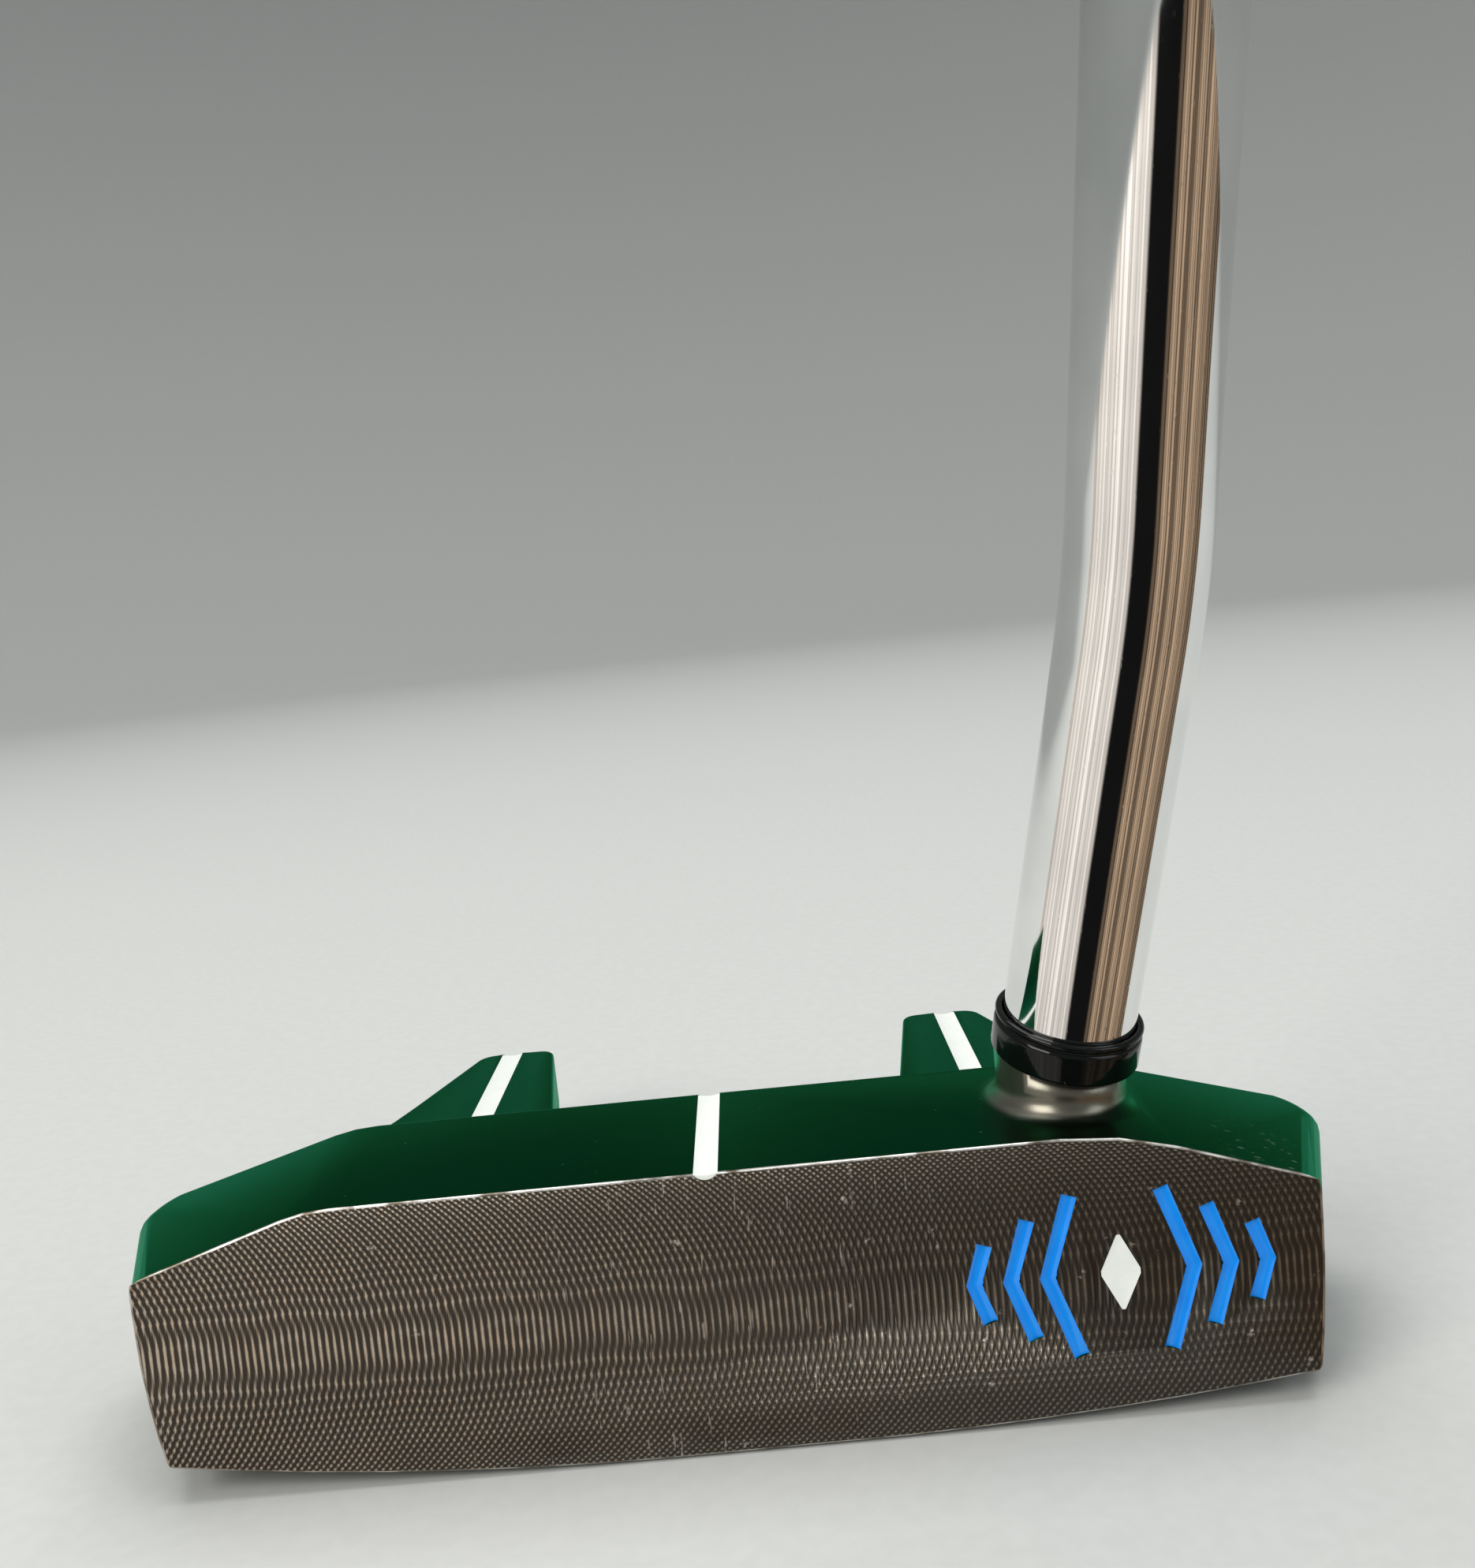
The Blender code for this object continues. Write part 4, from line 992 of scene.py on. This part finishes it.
class PUTTER_OT_ferrule(bpy.types.Operator):
    """Turn the gloss black ring at the shaft's foot, with a rolled upper rim"""

    bl_idname = "putter.ferrule"
    bl_label = "Ferrule"

    def execute(self, context):
        rim = context.scene.putter_shaft.rim / MM
        outer = SHAFT_RADIUS + FERRULE_WALL
        lip = SHAFT_RADIUS + FERRULE_CLEARANCE
        bore = SHAFT_RADIUS - SHAFT_WALL
        top = FERRULE_HEIGHT
        profile = [(lip, FERRULE_FLOOR), (lip, top - rim)]
        profile += arc((outer - rim, top - rim), rim, 175.0, -60.0, 14)
        profile += [(outer - rim * 0.72, top - rim * 2.1), (outer - rim * 0.55, top - rim * 2.5)]
        profile += arc((outer - 0.5, top - rim * 2.5 - 0.45), 0.5, 62.0, 0.0, 6)
        profile += arc((outer - 0.35, 0.35), 0.35, 0.0, -80.0, 6)
        profile += [(bore, 0.0), (bore, FERRULE_FLOOR)]
        ring = smooth(lathe("gloss_ring", profile, ferrule_frame(), 128), 50.0)
        ring.data.materials.append(ferrule_finish())
        finished(ring, "gloss_black", "ferrule")
        return {"FINISHED"}


def shaft_stations():
    """(point, radius) pairs along the shaft, with its steps near the butt."""
    tip, first, second, butt = shaft_corners()
    stations = [(tip, SHAFT_RADIUS)]
    stations += [(point, SHAFT_RADIUS) for point in bend(tip, first, second)]
    stations += [(point, SHAFT_RADIUS) for point in bend(first, second, butt)]
    radius = SHAFT_RADIUS
    last_step = CLUB_LENGTH - GRIP_LENGTH - STEP_TO_GRIP
    for step in range(SHAFT_STEPS):
        foot = last_step - STEP_PITCH * (SHAFT_STEPS - 1 - step)
        stations.append((upper_frame(foot).translation, radius))
        radius += STEP_RISE
        stations.append((upper_frame(foot + STEP_CONE).translation, radius))
    stations.append((butt, radius))
    return stations


def tube_recipe(material):
    """Geometry Nodes that draw a round tube along a line whose radius varies."""
    recipe = Recipe("Tube along a line", {"Sides": "Int"})
    width = recipe.add("GeometryNodeInputRadius")
    ring = recipe.add(
        "GeometryNodeCurvePrimitiveCircle", {"mode": "RADIUS"},
        {"Resolution": recipe.inputs["Sides"], "Radius": 1.0},
    )
    drawn = recipe.add("GeometryNodeCurveToMesh", inputs={
        "Curve": recipe.inputs["Geometry"], "Profile Curve": ring.outputs[0],
        "Scale": width.outputs[0], "Fill Caps": False,
    })
    recipe.end(drawn.outputs[0], material)
    return recipe


class PUTTER_OT_shaft(bpy.types.Operator):
    """Draw the chromed steel tube through both bends and its seven steps"""

    bl_idname = "putter.shaft"
    bl_label = "Shaft"

    def execute(self, context):
        stations = shaft_stations()
        track = line_curve("chrome_shaft", [point for point, radius in stations])
        for point, (place, radius) in zip(track.data.splines[0].points, stations):
            point.radius = radius * MM
        recipe = tube_recipe(chrome_finish())
        tube = recipe.make(track, {"Sides": context.scene.putter_shaft.sides})
        first = tube.data.polygons[0]
        if first.normal.dot(first.center - Vector(stations[0][0]) * MM) < 0.0:
            tube.data.flip_normals()
        wall = tube.modifiers.new("Wall", "SOLIDIFY")
        wall.thickness = SHAFT_WALL * MM
        wall.offset = -1.0
        wall.use_rim = True
        tube = smooth(plain(tube), 5.0)
        finished(tube, "chrome", "shaft")
        return {"FINISHED"}


def weight_frame(side):
    """Centre of a sole weight's face, Z up into the head."""
    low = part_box("toe_sole_weight" if side < 0.0 else "heel_sole_weight")[0]
    return Matrix.Translation((side * WEIGHT_OFFSET, 0.0, low.z / MM))


class PUTTER_OT_weights(bpy.types.Operator):
    """Turn the two sole weights, with their six-lobed sockets"""

    bl_idname = "putter.weights"
    bl_label = "Sole weights"

    def execute(self, context):
        steel = steel_finish()
        low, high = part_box("toe_sole_weight")
        tip = (high.z - low.z) / MM
        lobed = (SOCKET_LOBES, SOCKET_WAVE)
        profile = [(0.0, SOCKET_DEPTH), (SOCKET_RADIUS - 0.14, SOCKET_DEPTH, *lobed)]
        profile += [(SOCKET_RADIUS, SOCKET_DEPTH - 0.12, *lobed), (SOCKET_RADIUS, 0.28, *lobed)]
        profile += [(2.22, 0.02, SOCKET_LOBES, 0.11), (2.5, 0.0, SOCKET_LOBES, 0.05), (3.0, 0.0)]
        profile += [(3.55, 0.0), (3.65, 0.08), (3.85, 0.08), (3.95, 0.0)]
        profile += arc((WEIGHT_LIP - 0.4, 0.4), 0.4, -90.0, 0.0, 6)
        profile += arc((WEIGHT_LIP - 0.2, WEIGHT_DEPTH - 0.2), 0.2, 0.0, 90.0, 4)
        profile += [(3.0, WEIGHT_DEPTH), (2.7, WEIGHT_DEPTH + 0.4)]
        first_turn = WEIGHT_DEPTH + 0.55
        turns = int((tip - first_turn - 0.65) / THREAD_PITCH)
        for turn in range(turns):
            foot = first_turn + turn * THREAD_PITCH
            profile += [(2.98, foot + 0.1), (2.98, foot + 0.2), (2.72, foot + 0.45)]
        profile += [(2.6, tip - 0.2), (2.3, tip), (0.0, tip)]
        for side, where in ((-1.0, "toe"), (1.0, "heel")):
            weight = lathe(f"{where}_steel_weight", profile, weight_frame(side))
            smooth(weight, 32.0)
            weight.data.materials.append(steel)
            finished(weight, "weight_steel", f"{where}_sole_weight")
        return {"FINISHED"}


def grip_section(share):
    """Half width, half depth and distance to the thumb flat; share runs mouth to butt."""
    swell = share * share * (3.0 - 2.0 * share)
    half_width = GRIP_MOUTH_RADIUS + (GRIP_BUTT_WIDTH / 2.0 - GRIP_MOUTH_RADIUS) * swell
    half_depth = GRIP_MOUTH_RADIUS + (GRIP_BUTT_DEPTH / 2.0 - GRIP_MOUTH_RADIUS) * swell
    flatness = GRIP_FLAT * math.sin(math.pi * share / 2.0)
    return half_width, half_depth, half_depth * (1.0 - flatness)


def grip_ring(share, sides, inset=0.0, offset=0.0):
    """One outer section of the grip, drawn in by inset and turned by offset sides."""
    half_width, half_depth, limit = grip_section(share)
    place = upper_frame(CLUB_LENGTH - GRIP_LENGTH * (1.0 - share))
    shrink = 1.0 - inset / half_width
    ring = []
    for k in range(sides):
        angle = 2.0 * math.pi * (k + offset) / sides
        x = -half_depth * math.cos(angle)
        y = half_width * math.sin(angle)
        edge = x + limit
        if edge < 0.0:
            x = -limit + GRIP_FLAT_CROWN * edge
        ring.append(place @ Vector((x * shrink, y * shrink, 0.0)))
    return ring


def pad_recipe(material):
    """Geometry Nodes that stand a low pad on every point of a grid and keep the skin under it."""
    recipe = Recipe("Raised pads", {
        "Skin": "Object", "Pad Radius": "Float", "Pad Height": "Float", "Along": "Vector",
    })
    facing = recipe.add("GeometryNodeInputNormal")
    marked = recipe.add(
        "GeometryNodeStoreNamedAttribute", {"data_type": "FLOAT_VECTOR", "domain": "POINT"},
        {"Geometry": recipe.inputs["Geometry"], "Name": "outward", "Value": facing.outputs[0]},
    )
    seats = recipe.add(
        "GeometryNodeMeshToPoints", {"mode": "VERTICES"}, {"Mesh": marked.outputs[0]},
    )
    outward = recipe.add(
        "GeometryNodeInputNamedAttribute", {"data_type": "FLOAT_VECTOR"}, {"Name": "outward"},
    )
    stood = recipe.add(
        "FunctionNodeAlignRotationToVector", {"axis": "Z"}, {"Vector": outward.outputs[0]},
    )
    turned = recipe.add(
        "FunctionNodeAlignRotationToVector", {"axis": "Y", "pivot_axis": "Z"},
        {"Rotation": stood.outputs[0], "Vector": recipe.inputs["Along"]},
    )
    top = recipe.add(
        "ShaderNodeMath", {"operation": "MULTIPLY"}, {0: recipe.inputs["Pad Radius"], 1: 0.62},
    )
    pad = recipe.add("GeometryNodeMeshCone", {"fill_type": "NGON"}, {
        "Vertices": 4, "Radius Top": top.outputs[0], "Radius Bottom": recipe.inputs["Pad Radius"],
        "Depth": recipe.inputs["Pad Height"],
    })
    pads = recipe.add("GeometryNodeInstanceOnPoints", inputs={
        "Points": seats.outputs[0], "Instance": pad.outputs["Mesh"],
        "Rotation": turned.outputs[0], "Scale": (0.8, 1.35, 1.0),
    })
    under = recipe.add("GeometryNodeObjectInfo", inputs={"Object": recipe.inputs["Skin"]})
    joined = recipe.add("GeometryNodeJoinGeometry", inputs={0: pads.outputs[0]})
    recipe.tree.links.new(under.outputs["Geometry"], joined.inputs[0])
    recipe.end(joined.outputs[0], material)
    return recipe


class PUTTER_OT_grip(bpy.types.Operator):
    """Mould the rubber grip and stand its pads on it"""

    bl_idname = "putter.grip"
    bl_label = "Grip"

    def execute(self, context):
        settings = context.scene.putter_grip
        height = settings.pad_height / MM
        pitch = settings.pad_pitch / MM
        sides = 72
        bore = SHAFT_RADIUS + SHAFT_STEPS * STEP_RISE + 0.9
        mouth = ((0.0, 0.5), (0.002, 0.15), (0.006, 0.0), (0.020, 0.0), (0.024, height))
        body = [(0.024 + 0.952 * k / 60, height) for k in range(1, 60)]
        butt = ((0.976, height), (0.980, 0.0), (0.996, 0.0), (0.999, 0.15), (1.0, 0.5))
        rings = [grip_ring(share, sides, inset) for share, inset in (*mouth, *body, *butt)]
        half_turn = Matrix.Rotation(math.pi, 4, "Z")
        for distance in (CLUB_LENGTH, CLUB_LENGTH - GRIP_LENGTH):
            ring = circle(bore, 0.0, sides, upper_frame(distance) @ half_turn)
            rings.append(ring[:1] + ring[:0:-1])  # runs round as the outer sections do
        base = smooth(skin("grip_skin", rings, closed=True), 40.0)
        grid = self.pad_grid(pitch, height)
        recipe = pad_recipe(rubber_finish())
        grid.name = "rubber_grip"
        piece = recipe.make(grid, {
            "Skin": base, "Pad Radius": pitch * 0.52 * MM, "Pad Height": height * 0.92 * MM,
            "Along": upper_axis(),
        })
        bpy.data.objects.remove(base, do_unlink=True)
        finished(piece, "rubber", "grip")
        return {"FINISHED"}

    def pad_grid(self, pitch, height):
        """Staggered rows of points where the pads stand, as a closed net for its normals."""
        rows = []
        count = int(GRIP_LENGTH * 0.93 / pitch)
        sides = 18
        for row in range(count + 1):
            share = 0.036 + 0.928 * row / count
            rows.append(grip_ring(share, sides, height, 0.5 * (row % 2)))
        return smooth(skin("pad_net", rows, filled=False), 180.0)


class PUTTER_OT_cap(bpy.types.Operator):
    """Turn the vented cap that closes the grip's butt"""

    bl_idname = "putter.cap"
    bl_label = "Grip cap"

    def execute(self, context):
        crown = CAP_CROWN
        width = grip_section(1.0)[2] - CAP_MARGIN
        plug = SHAFT_RADIUS + SHAFT_STEPS * STEP_RISE - SHAFT_WALL - SEAT_GAP
        profile = [(VENT_RADIUS, -CAP_PLUG), (VENT_RADIUS, crown - 0.3)]
        profile += arc((VENT_RADIUS + 0.3, crown - 0.3), 0.3, 180.0, 90.0, 4)
        groove = ((0.40, 0.0), (0.42, 0.22), (0.46, 0.22), (0.48, 0.0))
        profile += [(width * share, crown - depth) for share, depth in groove]
        for k in range(9):
            angle = math.radians(90.0) * k / 8
            out = width - crown * 0.8 * (1.0 - math.sin(angle))
            profile.append((out, crown * (0.45 + 0.55 * math.cos(angle))))
        profile += [(width, 0.25), (width - 0.25, 0.0), (plug, 0.0)]
        profile += [(plug, 0.4 - CAP_PLUG), (plug - 0.4, -CAP_PLUG)]
        cap = lathe("moulded_cap", profile, upper_frame(CLUB_LENGTH + SEAT_GAP))
        smooth(cap, 38.0)
        cap.data.materials.append(cap_finish())
        finished(cap, "cap_black", "grip_cap")
        return {"FINISHED"}


class PUTTER_OT_hidden(bpy.types.Operator):
    """Finish the pieces that stay inside: washers, adhesive and tape"""

    bl_idname = "putter.hidden"
    bl_label = "Inner pieces"

    def execute(self, context):
        nylon = nylon_finish()
        kept = {
            "toe_weight_washer": nylon,
            "heel_weight_washer": nylon,
            "hosel_adhesive": epoxy_finish(),
            "grip_tape": tape_finish(),
        }
        for name, material in kept.items():
            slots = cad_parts[name].data.materials
            slots.clear()
            slots.append(material)
        return {"FINISHED"}


def soft_light(name, place, target, size, power, colour=(1.0, 1.0, 1.0)):
    """A rectangular lamp at place, in metres, that faces target."""
    data = bpy.data.lights.new(name, "AREA")
    data.shape = "RECTANGLE"
    data.size, data.size_y = size
    data.energy = power
    data.color = colour
    lamp = linked(name, data)
    lamp.location = place
    lamp.rotation_euler = (Vector(target) - Vector(place)).to_track_quat("-Z", "Y").to_euler()


def fan_finish():
    """Streaks that run out from the shaft's foot: pale at the toe side, dark, then warm."""
    f = Finish("Reflected streaks")
    x, depth, _ = f.axes()
    off_x, off_y = x - HOSEL_FOOT.x, HOSEL_FOOT.y - depth
    turn = off_x.math("ARCTAN2", off_x, off_y) * (180.0 / math.pi)
    direction = f.add("ShaderNodeCombineXYZ", inputs={0: turn * 0.12})
    streak = f.noise(0.9, 3.0, direction.outputs[0], 0.62).between(0.40, 0.58)
    thin = f.noise(3.1, 2.0, direction.outputs[0]).between(0.42, 0.58)
    deep = (streak * 0.65 + thin * 0.5).least(1.0)
    pale = f.mixed(deep * 0.62, (0.92, 0.87, 0.83), (0.17, 0.12, 0.09))
    warm = f.mixed(deep, (0.62, 0.43, 0.29), (0.03, 0.02, 0.013))
    colour = f.mixed(turn.between(-24.0, -19.0), pale, (0.006, 0.006, 0.006))
    colour = f.mixed(turn.between(8.0, 15.0), colour, warm)
    return f.close(base_color=colour, roughness=0.9, specular_ior_level=0.0)


def fan():
    """A sheet low in front of the head that only the polished pieces see."""
    rings = []
    for radius in (21.0, 60.0, 200.0, 600.0, 1300.0):
        ring = []
        for k in range(41):
            turn = math.radians(-92.0 + 180.0 * k / 40)
            across, back = radius * math.sin(turn), radius * math.cos(turn)
            ring.append((HOSEL_FOOT.x + across, HOSEL_FOOT.y - back, 1.0))
        rings.append(ring)
    sheet = skin("low_streaks", rings, filled=False, round_rings=False)
    sheet.data.materials.append(fan_finish())
    sheet.visible_camera = False
    sheet.visible_shadow = False
    sheet.visible_diffuse = False


def bowl(pale):
    """A pale floor that curves up into a wall all round."""
    flat, reach, lift = 1500.0, 3000.0, 2600.0
    profile = [(0.0, 0.0), (300.0, 0.0), (800.0, 0.0), (flat, 0.0)]
    for k in range(1, 17):
        turn = math.radians(90.0) * k / 16
        profile.append((flat + (reach - flat) * math.sin(turn), lift * (1.0 - math.cos(turn))))
    place = Matrix.Translation((100.0, 0.0, -0.2))
    rings = [circle(radius, height, 64, place) for radius, height in profile]
    floor = skin("studio_floor", rings, filled=False)
    floor.data.shade_smooth()
    floor.data.materials.append(floor_finish(pale))


class PUTTER_OT_stage(bpy.types.Operator):
    """Set the pale floor, the soft lights, the reflected sheet and the camera"""

    bl_idname = "putter.stage"
    bl_label = "Stage"

    def execute(self, context):
        settings = context.scene.putter_stage
        scene = context.scene
        bowl(settings.floor)
        head = (0.0, 0.0, 0.02)
        warm, cool = (1.0, 0.97, 0.93), (0.94, 0.97, 1.0)
        soft_light("overhead_softbox", (0.0, 0.25, 1.6), (0.0, 0.1, 0.0), (1.6, 1.2), 18.0)
        soft_light("key_softbox", (-0.75, -0.75, 0.75), head, (0.7, 0.7), 9.5, warm)
        soft_light("fill_softbox", (0.95, -0.6, 0.6), head, (0.6, 0.8), 2.5, cool)
        fan()
        world = bpy.data.worlds.new("Studio air")
        world.use_nodes = True
        sky = world.node_tree.nodes["Background"]
        sky.inputs["Color"].default_value = (0.93, 0.97, 1.0, 1.0)
        sky.inputs["Strength"].default_value = 0.34
        scene.world = world
        scene.view_settings.view_transform = "Standard"
        data = bpy.data.cameras.new("studio_camera")
        data.lens = settings.lens
        data.sensor_width = 36.0
        data.clip_start = 0.001
        camera = linked("studio_camera", data)
        yaw, pitch, roll = settings.yaw, settings.pitch, settings.roll
        right = Vector((math.cos(yaw), math.sin(yaw), 0.0))
        level = Vector((-math.sin(yaw), math.cos(yaw), 0.0))
        forward = level * math.cos(pitch) - Vector((0.0, 0.0, math.sin(pitch)))
        above = right.cross(forward)
        across = right * math.cos(roll) + above * math.sin(roll)
        upward = above * math.cos(roll) - right * math.sin(roll)
        placed = Matrix((across, upward, -forward)).transposed().to_4x4()
        placed.translation = Vector(settings.eye)
        camera.matrix_world = placed
        scene.camera = camera
        return {"FINISHED"}


class PUTTER_PT_pieces(bpy.types.Panel):
    """The putter's pieces and their sizes"""

    bl_idname = "PUTTER_PT_pieces"
    bl_label = "Mallet putter"
    bl_space_type = "VIEW_3D"
    bl_region_type = "UI"
    bl_category = "Putter"

    def draw(self, context):
        for holder, kind, group in PANEL:
            box = self.layout.box()
            for made in group:
                box.operator(made.bl_idname)
            settings = getattr(context.scene, holder)
            for key in settings.__annotations__:
                box.prop(settings, key)


PANEL = (
    ("putter_head", HeadSettings, (PUTTER_OT_head,)),
    ("putter_paint", PaintSettings, (PUTTER_OT_lines, PUTTER_OT_ornament)),
    ("putter_shaft", ShaftSettings, (PUTTER_OT_ferrule, PUTTER_OT_shaft, PUTTER_OT_weights)),
    ("putter_grip", GripSettings, (PUTTER_OT_grip, PUTTER_OT_cap, PUTTER_OT_hidden)),
    ("putter_stage", StageSettings, (PUTTER_OT_stage,)),
)

CLASSES = [kind for holder, kind, group in PANEL]
CLASSES += [made for holder, kind, group in PANEL for made in group]
CLASSES.append(PUTTER_PT_pieces)


def register():
    for made in CLASSES:
        bpy.utils.register_class(made)
    for holder, kind, group in PANEL:
        setattr(bpy.types.Scene, holder, PointerProperty(type=kind))


def unregister():
    for holder, kind, group in PANEL:
        delattr(bpy.types.Scene, holder)
    for made in reversed(CLASSES):
        bpy.utils.unregister_class(made)


def main():
    register()
    for holder, kind, group in PANEL:
        for made in group:
            getattr(bpy.ops.putter, made.bl_idname.split(".")[1])()


if __name__ == "__main__":
    main()
